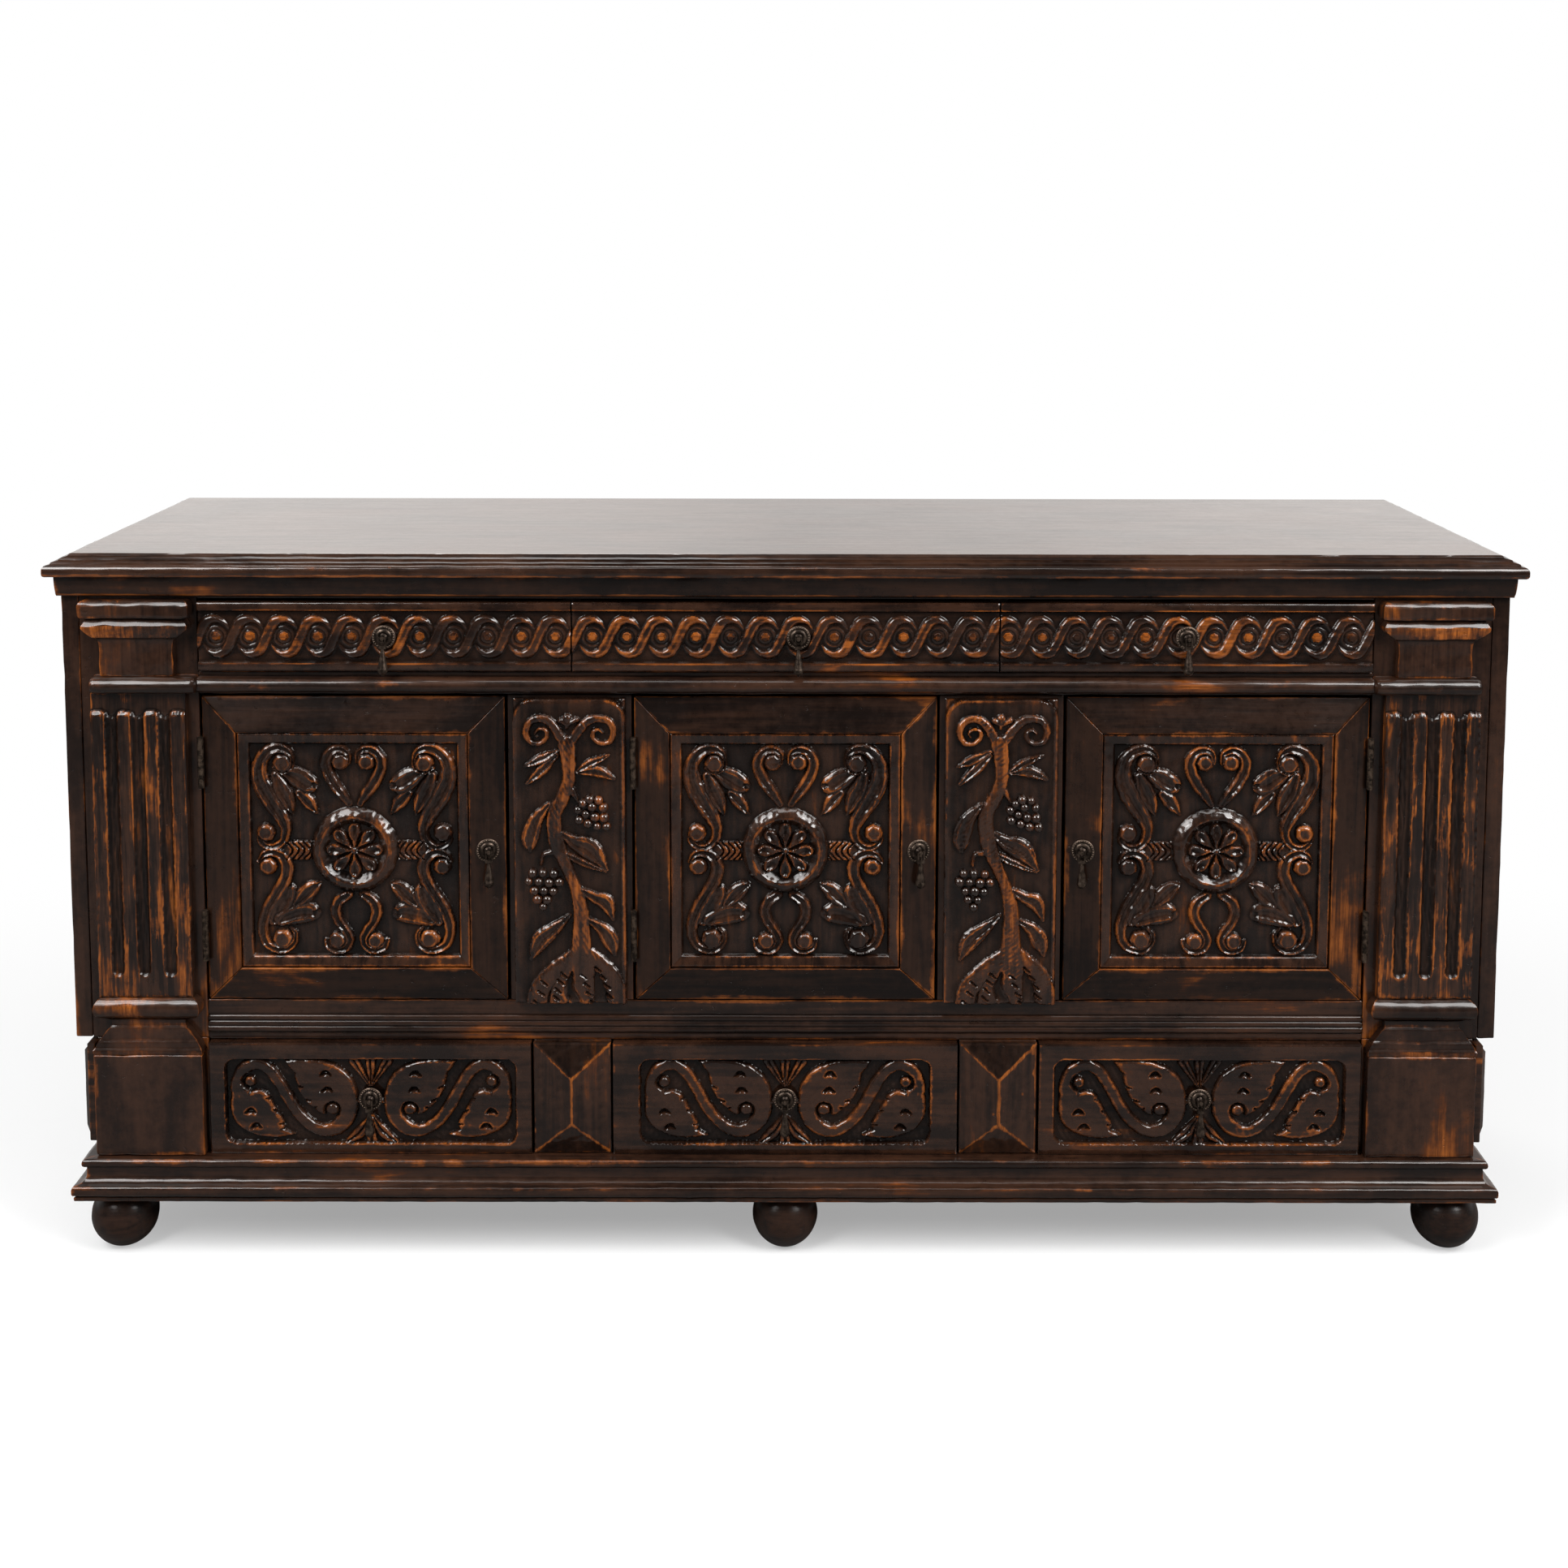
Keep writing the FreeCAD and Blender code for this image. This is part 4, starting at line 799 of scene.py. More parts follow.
def make_cushion_bases():
    base = [(0.6, 4.4, 261), (0, 4, 262.2), (0, 4, 266.4), (1.8, 5.8, 268.6),
            (2.6, 6.2, 270.5), (5.6, 6.6, 275.6), (6.2, 6.8, 277.0)]
    base += [(8.2, 8.6, 279.2), (9.8, 8.8, 281.0), (18.0, 9.4, 292.6),
             (20.5, 9.6, 294.4), (22.2, 11.4, 296.6), (22.6, 11.6, 298.0)]
    base += [(22.6, 11.6, 303.6), (21.4, 10.6, 305.0), (20.0, 9.0, 306.0)]
    roll = 14.5
    for t in np.radians(np.linspace(-78, 78, 13)):
        base += [(1.5 + roll - roll * math.cos(t), roll - roll * math.cos(t), 320.5 + roll * math.sin(t))]
    base += [(15.4, 13.4, 335)]
    shape = Shape()
    rubs = [(296.5, 300, 0.6), (276.5, 279.6, 0.4), (263.5, 268, 0.5)]
    for side in (-1, 1):
        around(shape, [(s, f, 0, z) for s, f, z in base], 69.5, -242, CASE_Y, side * 805.5, wobble=1.2,
               cell=7, seed=75 + side, rubs=rubs)
    shape.piece("cushion_bases", BLOCKS, ["pilaster_bases"])


def make_shafts():
    """Shafts with three round-ended flutes under notched lips."""
    flute_depth, flute_radius, notch_radius = 4.6, 8.0, 11
    shape = Shape()
    for side in (-1, 1):
        shaft = Carving(118, 390, 1.3, 80 + side)
        flutes = 0.0
        ends = 173.0
        for u in (-33, 0, 33):
            beyond = np.maximum(0, -shaft.v - 160)
            far = np.hypot(shaft.shaken_u - u, beyond)
            flutes = np.maximum(flutes, np.sqrt(np.clip(1 - (far / flute_radius) ** 2, 0, 1)))
            ends = ends - 7 * np.clip(1 - far / notch_radius, 0, 1)
        tall_spots = np.column_stack([shaft.u.ravel(), shaft.v.ravel() * 0.12])
        chop = np.abs(waves(tall_spots, 10, 90 + side)).reshape(shaft.u.shape)
        shaft.rise = -flute_depth * flutes - 0.5 * chop
        shaft.rise -= 1.8 * np.exp(-shaft.frame_edge() / 1.8) * (1 + 0.5 * shaft.field(14, 3))
        shaft.rise -= 2.6 * np.clip((shaft.shaken_v - ends + 5) / 5, 0, 1)
        shaft.rise = np.where(shaft.shaken_v > ends, -6.0, np.minimum(shaft.rise, 0))
        shaft.rubbed = 0.6 * (flutes < 0.1) * np.clip(0.35 + shaft.field(60, 7), 0, 1)
        shaft.onto(shape, facing_front(side * 807, -234, 530), 14, crisp=0.3)
    shape.piece("shafts_fluted", SHAFT, ["fluted_shafts"])


def make_pedestals():
    shape = Shape()
    for side in (-1, 1):
        side_board(shape, side, (736, 875), (-238, CASE_Y), (BASE_Z[1], 261), 2.4, 9, 1.0, 85)
    shape.piece("pedestal_blocks", BLOCKS, ["pedestals"])


def make_lower_sides():
    """The lower sides, each with a stepped raised panel."""
    steps = [(0.8, 875), (0, 876.2), (0, 883.4), (0.8, 884.5), (5.6, 884.8),
             (6.2, 885.6), (13.0, 891.8), (14.5, 893)]
    flat = fill_in(steps)
    shape = Shape()
    for side in (-1, 1):
        side_board(shape, side, (853, 875), (STILE_Y, BACK_Y), (BASE_Z[1], 311), 1.5, 22, 0.3, 91)
        grid = []
        for inset, x in flat:
            ys = np.linspace(-230 + inset, 236 - inset, 40)
            zs = np.linspace(145 + inset, 273 - inset, 14)
            ring = [(y, zs[0]) for y in ys] + [(ys[-1], z) for z in zs[1:]]
            ring += [(y, zs[-1]) for y in ys[-2::-1]] + [(ys[0], z) for z in zs[-2:0:-1]]
            ring = np.array(ring)
            ring += 0.5 * np.column_stack([waves(ring, 30, 95), waves(ring, 34, 96)]) * (inset > 0.9)
            grid.append(np.column_stack([np.full(len(ring), side * x), ring]))
        shape.skin(np.array(grid), profile_wear_and_shade(flat)[:, None], loop_ring=True)
    shape.piece("lower_side_panels", LEVEL, ["lower_sides"])


def make_diamonds():
    """Blocks with four sloping faces that meet in a short ridge."""
    half_wide, half_tall, slope_tall, peak = 46.5, 70, 41, 13
    shape = Shape()
    for side in (-1, 1):
        block = Carving(98, 145, 1.6, 100 + side)
        u, v = block.shaken_u, block.shaken_v
        beside, above = (half_wide - np.abs(u)) / half_wide, (half_tall - np.abs(v)) / slope_tall
        slope = np.minimum(beside, above)
        hips = crest(np.abs(beside - above) * 31, 1.5)
        ridge = crest(np.abs(u), 1.5) * (above > beside - 0.05)
        painted_shade_top = (beside > above + 0.07) & (v > 0)
        # Painted shade: the upward facet is darkened; the hips and ridge get orange wear.
        block.rubbed = np.where(painted_shade_top, -0.9, 0.6 * np.maximum(hips, ridge))
        block.rise = peak * np.clip(slope, 0, 1) - 1.2 * np.exp(-block.frame_edge() / 1.4)
        block.rise = np.minimum(block.rise + 0.25 * block.field(22, 1), peak)
        block.onto(shape, facing_front(side * PANEL_X, -229, 201.5), 9, crisp=0.24)
    shape.piece("diamond_blocks_cut", UPRIGHT, ["diamond_blocks"])


# Drawings: points in the drawing's own units, each with the half widths of its band


def drawn(points, middle, unit):
    """Drawing points turned to millimetres, from the middle of the panel and up."""
    return [((x - middle[0]) * unit, (middle[1] - y) * unit) for x, y in points]


# Vine panels

VINE_UNIT = 0.26
VINE_MIDDLE = (247, 752)
VINE_TRUNK = ([(235, 215), (245, 300), (245, 390), (215, 480), (175, 560), (175, 640), (190, 720),
               (230, 820), (265, 900), (290, 980), (300, 1060), (300, 1150), (300, 1240), (290, 1330)],
              [42, 36, 32, 34, 36, 38, 38, 30, 28, 34, 38, 44, 52, 80])
VINE_VOLUTES = [
    ([(235, 235), (200, 170), (160, 110), (110, 90), (60, 110), (42, 160), (65, 205), (105, 212), (140, 185),
      (140, 150), (110, 140), (85, 160), (95, 180)], [20, 24, 22, 20, 18, 16, 14, 12, 11, 10, 8, 6, 5]),
    ([(235, 235), (280, 170), (330, 110), (385, 90), (440, 105), (462, 150), (445, 200), (405, 212),
      (368, 190), (365, 155), (390, 145), (410, 160)], [20, 24, 22, 20, 18, 16, 14, 12, 11, 10, 8, 6]),
    ([(238, 140), (240, 90)], [5, 22]),
    ([(240, 120), (210, 100)], [10, 14]),
    ([(240, 120), (285, 95)], [10, 14]),
]
VINE_LEAVES = [
    ([(190, 250), (110, 290), (35, 325)], [8, 22, 6]),
    ([(190, 270), (120, 340), (45, 410)], [10, 24, 8]),
    ([(285, 350), (350, 310), (440, 270)], [8, 20, 6]),
    ([(290, 355), (380, 350), (462, 385)], [8, 26, 10]),
    ([(150, 510), (85, 590), (55, 680), (55, 740)], [10, 30, 36, 10]),
    ([(205, 650), (270, 700), (350, 740), (425, 835)], [10, 30, 44, 8]),
    ([(200, 740), (290, 790), (420, 845)], [6, 18, 6]),
    ([(290, 930), (370, 975), (420, 1000), (455, 1085)], [12, 26, 34, 6]),
    ([(245, 1060), (180, 1120), (100, 1190), (55, 1280)], [8, 26, 38, 8]),
    ([(330, 1080), (400, 1130), (440, 1190), (460, 1260)], [10, 28, 36, 8]),
]
VINE_ROOTS = [
    ([(270, 1250), (150, 1360), (90, 1450), (80, 1560)], [30, 45, 50, 50]),
    ([(300, 1250), (290, 1400), (300, 1560)], [60, 70, 60]),
    ([(340, 1250), (430, 1350), (470, 1450), (470, 1560)], [30, 45, 50, 50]),
    ([(280, 1300), (200, 1430), (180, 1560)], [40, 45, 45]),
]
VINE_TWIGS = [([(260, 440), (290, 500)], [16, 6]), ([(160, 750), (120, 760), (110, 810)], [14, 10, 6])]
VINE_GAP = [(255, 1340), (240, 1430), (275, 1500), (270, 1560)]
VINE_NOTCHES = [
    (215, 1360), (200, 1395), (185, 1435), (178, 1475), (172, 1520), (120, 1400), (105, 1450),
    (82, 1498), (310, 1365), (325, 1410), (340, 1455), (355, 1500), (380, 1330), (405, 1370),
    (425, 1415), (435, 1465), (440, 1510),
]
VINE_GRAPES = [
    (345, 485), (388, 490), (313, 505), (357, 522), (412, 525), (288, 537), (327, 558), (370, 572),
    (415, 575), (293, 588), (338, 605), (380, 618), (426, 620),
    (67, 850), (117, 850), (170, 853), (48, 892), (97, 893), (147, 897), (195, 895),
    (75, 937), (122, 937), (167, 940), (90, 980), (138, 982), (117, 1017),
]


def make_vines():
    """Two panels, each with a trunk on its roots, twisted volutes, leaves and grapes."""
    middle_z, face_y, grapes_y = 522.5, -230.5, -233.4
    shape = Shape()
    grapes = []
    for side in (-1, 1):
        panel = Carving(141, 391, 1.2, 110 + side)
        corner = np.hypot(np.maximum(0, np.abs(panel.shaken_u) - 40.5), np.maximum(0, panel.shaken_v - 165.5))

        def grow(band, rise, form="round", wider=1.0, rub=0.0):
            points, widths = band
            widths = [w * VINE_UNIT * wider for w in widths]
            panel.stroke(drawn(points, VINE_MIDDLE, VINE_UNIT), widths, rise, form, rub=rub)

        for band in VINE_ROOTS:
            grow(band, 4.8, rub=0.24)
        for band in VINE_LEAVES:
            grow(band, 4.8, "hollow", 1.2)
        for band in VINE_VOLUTES + VINE_TWIGS:
            grow(band, 5.2)
        grow(VINE_TRUNK, 6.6, rub=0.4)
        gap = drawn(VINE_GAP, VINE_MIDDLE, VINE_UNIT)
        panel.stroke(gap, [1.6, 7.8, 7.8, 5.2], 4.5, "dome", cut=True)
        for x, y in VINE_NOTCHES:
            notch = drawn([(x - 14, y - 10), (x + 14, y + 10)], VINE_MIDDLE, VINE_UNIT)
            panel.stroke(notch, [2.4, 2.6, 1.2], 2.6, "dome", cut=True)
            panel.stroke([(u, v - 2.6) for u, v in notch], [0.9, 1.2, 0.8], 1.4, "round", lift=4.3)
        panel.rise += 0.22 * panel.field(9, 5) * (panel.rise > 1) + 0.16 * panel.field(30, 6)
        rim = np.exp(-((panel.us[-1] - panel.shaken_u - 3) / 2.6) ** 2)
        panel.rise += 2.2 * rim - 2.0 * np.exp(-panel.frame_edge() / 1.6)
        panel.rise = np.where(corner > 30, panel.rise - 7.5 * step((corner - 30) / 2.0), panel.rise)
        panel.onto(shape, facing_front(side * PANEL_X, face_y, middle_z), 10.5, ground_shade=0.42)
        spots = drawn(VINE_GRAPES, VINE_MIDDLE, VINE_UNIT)
        grapes += [(side * PANEL_X + u, grapes_y, middle_z + v) for u, v in spots]
    shape.piece("vine_panels_carved", CARVED, ["vine_panels"])
    size = {"Radius": 0.0056, "Seed": 3, "Worn": 0.75}
    scatter("vine_grapes", grapes, BALLS, size, GRAPES, ["vine_panels"], "root")


# Doors

DOOR_UNIT = 0.192
DOOR_MIDDLE = (725, 785)
DOOR_BANDS = [
    ([(205, 235), (262, 268), (318, 240), (330, 175), (300, 125), (240, 105), (170, 130),
      (118, 200), (110, 290), (140, 380), (190, 470), (245, 560), (275, 640),
      (262, 715), (210, 762), (150, 760), (108, 725), (100, 680)],
     [10, 12, 14, 12, 22, 30, 34, 38, 44, 50, 48, 40, 30, 24, 22, 20, 18, 12]),
    ([(95, 860), (130, 815), (190, 800), (250, 830), (280, 900), (265, 980), (215, 1070), (155, 1170),
      (118, 1270), (112, 1350), (140, 1420), (200, 1455), (265, 1455), (315, 1410), (325, 1350), (290, 1310)],
     [10, 20, 28, 32, 34, 34, 34, 34, 32, 28, 26, 24, 22, 18, 14, 8]),
    ([(700, 200), (690, 140), (640, 112), (580, 130), (545, 190),
      (555, 260), (595, 340), (645, 410), (690, 480)],
     [10, 18, 24, 27, 30, 32, 32, 28, 18]),
    ([(675, 1085), (615, 1130), (590, 1195), (610, 1265), (655, 1330), (680, 1390),
      (655, 1445), (600, 1462), (545, 1440), (525, 1395)],
     [26, 30, 30, 28, 26, 25, 23, 22, 20, 14]),
]
DOOR_LEAVES = [
    ([(215, 290), (250, 380), (290, 460), (324, 552)], [26, 44, 38, 5]),
    ([(285, 265), (360, 305), (420, 345), (458, 352)], [28, 52, 52, 26]),
    ([(368, 405), (425, 462), (488, 548)], [22, 36, 5]),
    ([(185, 1265), (235, 1170), (280, 1085), (298, 1018)], [28, 54, 48, 12]),
    ([(335, 1150), (390, 1092), (442, 1042), (498, 1010)], [20, 44, 36, 6]),
    ([(230, 1255), (320, 1222), (400, 1206), (450, 1215)], [38, 54, 54, 32]),
]
DOOR_BOSSES = [((262, 205), 55), ((148, 668), 52), ((155, 895), 50),
               ((243, 1385), 58), ((640, 195), 50), ((600, 1395), 50)]


def carve_door_panel(seed):
    """Scrolls and leaves about a dished rosette with eight petals, in a beaded frame."""
    rosette, rim, bead_wide = 55.4, 44, 15.4
    panel = Carving(289, 302, 1.15, seed)
    for flip in (-1, 1):
        def put(points):
            return [(flip * u, v) for u, v in drawn(points, DOOR_MIDDLE, DOOR_UNIT)]

        for bands, wider, rise in ((DOOR_LEAVES, 1.36, 5.6), (DOOR_BANDS, 1.34, 6.8)):
            for points, widths in bands:
                panel.stroke(put(points), [w * DOOR_UNIT * wider for w in widths], rise, "hollow")
        for k, (middle, radius) in enumerate(DOOR_BOSSES):
            panel.boss(put([middle])[0], radius * DOOR_UNIT * 1.24, 7.8, 6 + k % 3, 0.7, k)
        shank = put([(260, 790), (300, 790), (440, 790), (490, 790)])
        panel.stroke(shank, [3.8, 11.9, 11.9, 1.0], 4.8, "ridge")
        for x in (320, 358, 396, 434, 468):
            barb = put([(x - 46, 730), (x, 790), (x - 46, 850)])
            panel.stroke(barb, [0.9, 1.3, 0.9], 3.2, "dome", cut=True)
    far = np.hypot(panel.shaken_u, panel.shaken_v)
    turn = np.arctan2(panel.v, panel.u)
    ring_at = [0, 31, 34, 38, 41.2, 42.4, 43.4, 46.5, 50, 53, rosette]
    ring = np.interp(far, ring_at, [0.8, 1.0, 2.0, 5.2, 8.6, 9.3, 9.4, 8.4, 6.0, 3.0, 0])
    ring += np.where(far > rim, 0.5 * np.abs(np.sin(turn * 6.5 + 1 + 0.03 * far)) - 0.4, 0)
    around_ring = np.maximum(ring, np.where(far < rim, 0, panel.rise * 0.4))
    panel.rise = np.where(far < rosette, around_ring, panel.rise)
    for k in range(8):
        angle = k * math.pi / 4 + math.pi / 2
        petal = [(r * math.cos(angle), r * math.sin(angle)) for r in (4, 10, 16, 21.5, 26.5, 29.5)]
        panel.stroke(petal, [1.6, 2.8, 5.0, 7.6, 8.4, 6.8], 6.2, "dished", lift=0.9)
    panel.boss((0, 0), 6.4, 8.0, 9, 0.3)
    panel.rise += 0.18 * panel.field(12, 5) * (panel.rise > 1) + 0.14 * panel.field(34, 6)
    margin = panel.frame_edge()
    bead = np.interp(margin, [0, 1.2, 2.6, 9, 12.5, 14.2, bead_wide], [4.6, 6.4, 7.0, 5.6, 4.6, 3.2, 0])
    at_bead = np.maximum(bead + 0.2 * panel.field(26, 7), panel.rise * (margin > 13))
    panel.rise = np.where(margin < bead_wide, at_bead, panel.rise)
    return panel


def make_doors():
    """A mitred frame whose face slopes in to the carved panel, for each door."""
    wide, tall = 379.0, 392.0
    across_member, thick, thin = 45, 32, 20
    mitre_gap = 0.12
    for k, (door, middle) in enumerate(DOORS.items()):

        def member(points, turn, half_long, half_far):
            """Slopes a member's face and mitres its ends; then stands it on its side of the frame."""
            along, across, deep = points[:, 0].copy(), points[:, 1].copy(), points[:, 2].copy()
            share = np.clip(across / across_member, 0, 1)
            deep = deep / thick * (thin + share * (thick - thin))
            along *= (half_long - across - mitre_gap) / half_long
            u, v = along, across - half_far
            for _ in range(turn):
                u, v = v, -u
            return np.column_stack([middle + u, -202 - deep, DOOR_Z + v])

        for first, label, finish in ((0, "_rails", DOOR_LEVEL), (1, "_stiles", DOOR_UPRIGHT)):
            shape = Shape()
            half_long, half_far = (wide / 2, tall / 2) if first == 0 else (tall / 2, wide / 2)
            for turn in (first, first + 2):
                low, high = (-half_long, 0, 0), (half_long, across_member, thick)
                board(shape, low, high, 1.5, 12, 0.55, 120 + 7 * k + turn,
                      lambda points: member(points, turn, half_long, half_far))
            shape.piece(door + label, finish, [door + "_frame"], door)
        shape = Shape()
        carve_door_panel(130 + k).onto(shape, facing_front(middle, -224, DOOR_Z), 10, edge=0.0, ground_shade=0.3)
        shape.piece(door + "_carved_panel", CARVED, [door + "_panel"], door)


# Drawers

LOWER_UNIT = 0.29
LOWER_MIDDLE = (796, 295)
LOWER_BAND = (
    [(222, 300), (205, 235), (235, 160), (300, 132), (360, 165), (410, 240), (455, 320), (510, 385),
     (580, 422), (650, 405), (695, 345), (700, 270), (675, 205), (630, 165)],
    [20, 26, 28, 28, 28, 28, 28, 28, 30, 36, 40, 40, 40, 36],
)
LOWER_LEAVES = [
    ([(225, 250), (240, 350), (300, 402), (380, 428), (458, 440)], [44, 56, 46, 28, 4]),
    ([(300, 300), (335, 345), (385, 395)], [60, 52, 34]),
    ([(422, 116), (500, 150), (590, 180), (650, 240), (660, 300)], [5, 45, 64, 76, 60]),
    ([(500, 180), (530, 250), (590, 310)], [40, 50, 46]),
]
LOWER_GAPS = [
    ([(478, 432), (440, 388), (402, 322), (368, 258), (338, 212), (300, 190), (262, 178)],
     [6, 15, 15, 14, 11, 9, 5]),
    ([(392, 122), (422, 172), (462, 240), (505, 308), (552, 352), (600, 372), (648, 368)],
     [6, 14, 14, 14, 12, 10, 5]),
]
LOWER_TEETH = [[(405, 345), (368, 330)], [(440, 395), (395, 392)], [(372, 285), (340, 280)],
               [(462, 222), (498, 232)], [(500, 285), (532, 290)], [(530, 330), (556, 318)]]
LOWER_FANS = [([(796, 225), (796, 110)], [8, 26]), ([(790, 225), (722, 118)], [8, 24]),
              ([(790, 360), (745, 430), (690, 470)], [8, 26, 14]), ([(796, 360), (796, 480)], [8, 28])]
LOWER_HOLES = [(268, 335), (292, 400), (600, 170), (605, 240)]
LOWER_CURLS = [(268, 208), (626, 330)]


def carve_lower_front(width, seed):
    """Two S bands with lobed leaves, mirrored about a small fan, in a sunk field with round corners."""
    corner, half_wide, half_tall, lowered, deep = 14, 185, 56, 3.5, 7.0
    front = Carving(width, 145.5, 1.25, seed)
    beyond_u = np.maximum(0, np.abs(front.shaken_u) - (half_wide - corner))
    beyond_v = np.maximum(0, np.abs(front.shaken_v + lowered) - (half_tall - corner))
    sunk = step((corner - np.hypot(beyond_u, beyond_v)) / 2.2)
    for flip in (-1, 1):
        def put(points):
            return [(flip * u, v * 1.04 - 4.6) for u, v in drawn(points, LOWER_MIDDLE, LOWER_UNIT)]

        def hand(widths):
            return [w * LOWER_UNIT for w in widths]

        for points, widths in LOWER_LEAVES:
            front.stroke(put(points), hand(widths), 6.4, "flat", rub=0.22)
        for points, widths in LOWER_GAPS:
            front.stroke(put(points), hand(widths), 7.5, "dome", cut=True)
        for points in LOWER_TEETH:
            front.stroke(put(points), [2.6, 0.8], 6.0, "dome", cut=True)
        front.rise = np.maximum(front.rise, 0)
        front.stroke(put(LOWER_BAND[0]), hand(LOWER_BAND[1]), 6.7, "flat", rub=0.08)
        for points, widths in LOWER_FANS:
            front.stroke(put(points), hand(widths), 5.6, "grooved")
        front.stroke(put([(715, 295), (877, 295)]), hand([12, 12]), 6.0, "flat")
        for x, y in LOWER_HOLES:
            hole = put([(x - 24, y + 10), (x, y - 2), (x + 22, y + 8)])
            front.stroke(hole, [1.4, 4.0, 1.4], 5.2, "dome", cut=True)
        for x, y in LOWER_CURLS:
            centre = put([(x, y)])[0]
            far = np.hypot(front.shaken_u - centre[0], front.shaken_v - centre[1])
            groove = crest(far - 9.0, 1.9)
            front.rise = np.where(far < 11.5, front.rise - 5.4 * groove, front.rise)
            front.boss(centre, 7.6, 6.2, 9, 0.66)
    front.rise = np.maximum(front.rise, 0) + 0.2 * front.field(12, 5)
    front.rise = np.where(sunk > 0, sunk * (front.rise - deep), 0)
    front.rise += 0.12 * front.field(30, 6) - 0.9 * np.exp(-front.frame_edge() / 1.2)
    front.rise = np.minimum(front.rise, 0.35)
    return front


def carve_frieze(left, right, first, pitch, count, seed):
    """A row of ringed eyes with S strands that pass under one eye and over the next."""
    sunk, ring_at, eye, strip_wide, half_tall = 4.2, 11.6, 8.6, 10.6, 43.75
    front = Carving(right - left, 2 * half_tall, 1.15, seed, 0.28)
    middle = (left + right) / 2
    half = pitch / 2
    bend = [(-16, -10), (-9, -18.5), (1, -22), (10.5, -19), (16, -11)]
    widths = [1.4, 3.6, 5.6, 6.9, 7.2, 7.0, 7.2, 6.9, 5.6, 3.6, 1.4]
    shades = np.random.default_rng(seed).uniform(-0.3, 1.0, count + 1)
    for n in range(-1, count):
        between = first + pitch * (n + 0.5) - middle
        path = [(between - half + u, v) for u, v in bend] + [(between, 0)]
        path += [(between + half - u, -v) for u, v in bend[::-1]]
        front.stroke(path, widths, 5.0, "strand", rub=shades[n])
    front.rubbed *= np.clip(0.62 + 0.7 * front.field(34, 8), 0, 1)
    nearest = first + pitch * np.clip(np.round((front.shaken_u + middle - first) / pitch), 0, count - 1)
    far = np.hypot(front.shaken_u + middle - nearest, front.shaken_v)
    front.rise = np.maximum(front.rise, 1.2 * crest(far - ring_at, 1.8))
    front.rise = np.maximum(front.rise, 1.0 * np.clip((eye - far) / 1.2, 0, 1))
    front.rise += 0.18 * front.field(12, 5) * (front.rise > 1)
    tall = half_tall - np.abs(front.v)
    strip = step((tall - strip_wide) / 1.6)
    wall = sunk * (1 - strip) - 0.4 * np.clip(1 - tall / 7, 0, 1) - 1.2 * np.exp(-tall / 1.3)
    front.rise = np.where(strip < 1, np.maximum(wall, front.rise * strip), front.rise)
    front.rubbed = np.where(tall < 8.2, -0.35, front.rubbed)
    front.rise -= sunk + 0.8 * np.exp(-front.frame_edge() / 1.2)
    front.rise += 0.14 * front.field(30, 6)
    front.rise = np.minimum(front.rise, 0.6)
    return front


def make_drawer_fronts():
    thick, buttons_y = 18, -224.4
    for k, (drawer, (left, right)) in enumerate(LOWER_DRAWERS.items()):
        shape = Shape()
        put = facing_front((left + right) / 2, LOWER_FACE_Y, LOWER_Z)
        carve_lower_front(right - left, 140 + k).onto(shape, put, thick, ground_shade=0.3, ground=-7.0)
        shape.piece(drawer + "_carved_front", LOWER_FRONT, [drawer + "_front"], drawer)
    for k, (drawer, (left, right, pull, first, pitch, count)) in enumerate(UPPER_DRAWERS.items()):
        shape = Shape()
        put = facing_front((left + right) / 2, UPPER_FACE_Y, UPPER_Z)
        frieze = carve_frieze(left, right, first, pitch, count, 150 + k)
        frieze.onto(shape, put, thick, ground_shade=0.3, ground=-4.2)
        shape.piece(drawer + "_carved_front", FRIEZE, [drawer + "_front"], drawer)
        spots = [(first + pitch * n, buttons_y, UPPER_Z) for n in range(count)]
        clear_of_pull = [spot for spot in spots if abs(spot[0] - pull) > 8]
        size = {"Radius": 0.0064, "Height": 0.0052, "Seed": 5 + k, "Worn": 1.7}
        scatter(drawer + "_eye_buttons", clear_of_pull, BUTTONS, size, FRIEZE, [drawer + "_front"], drawer)


# Pieces that repeat


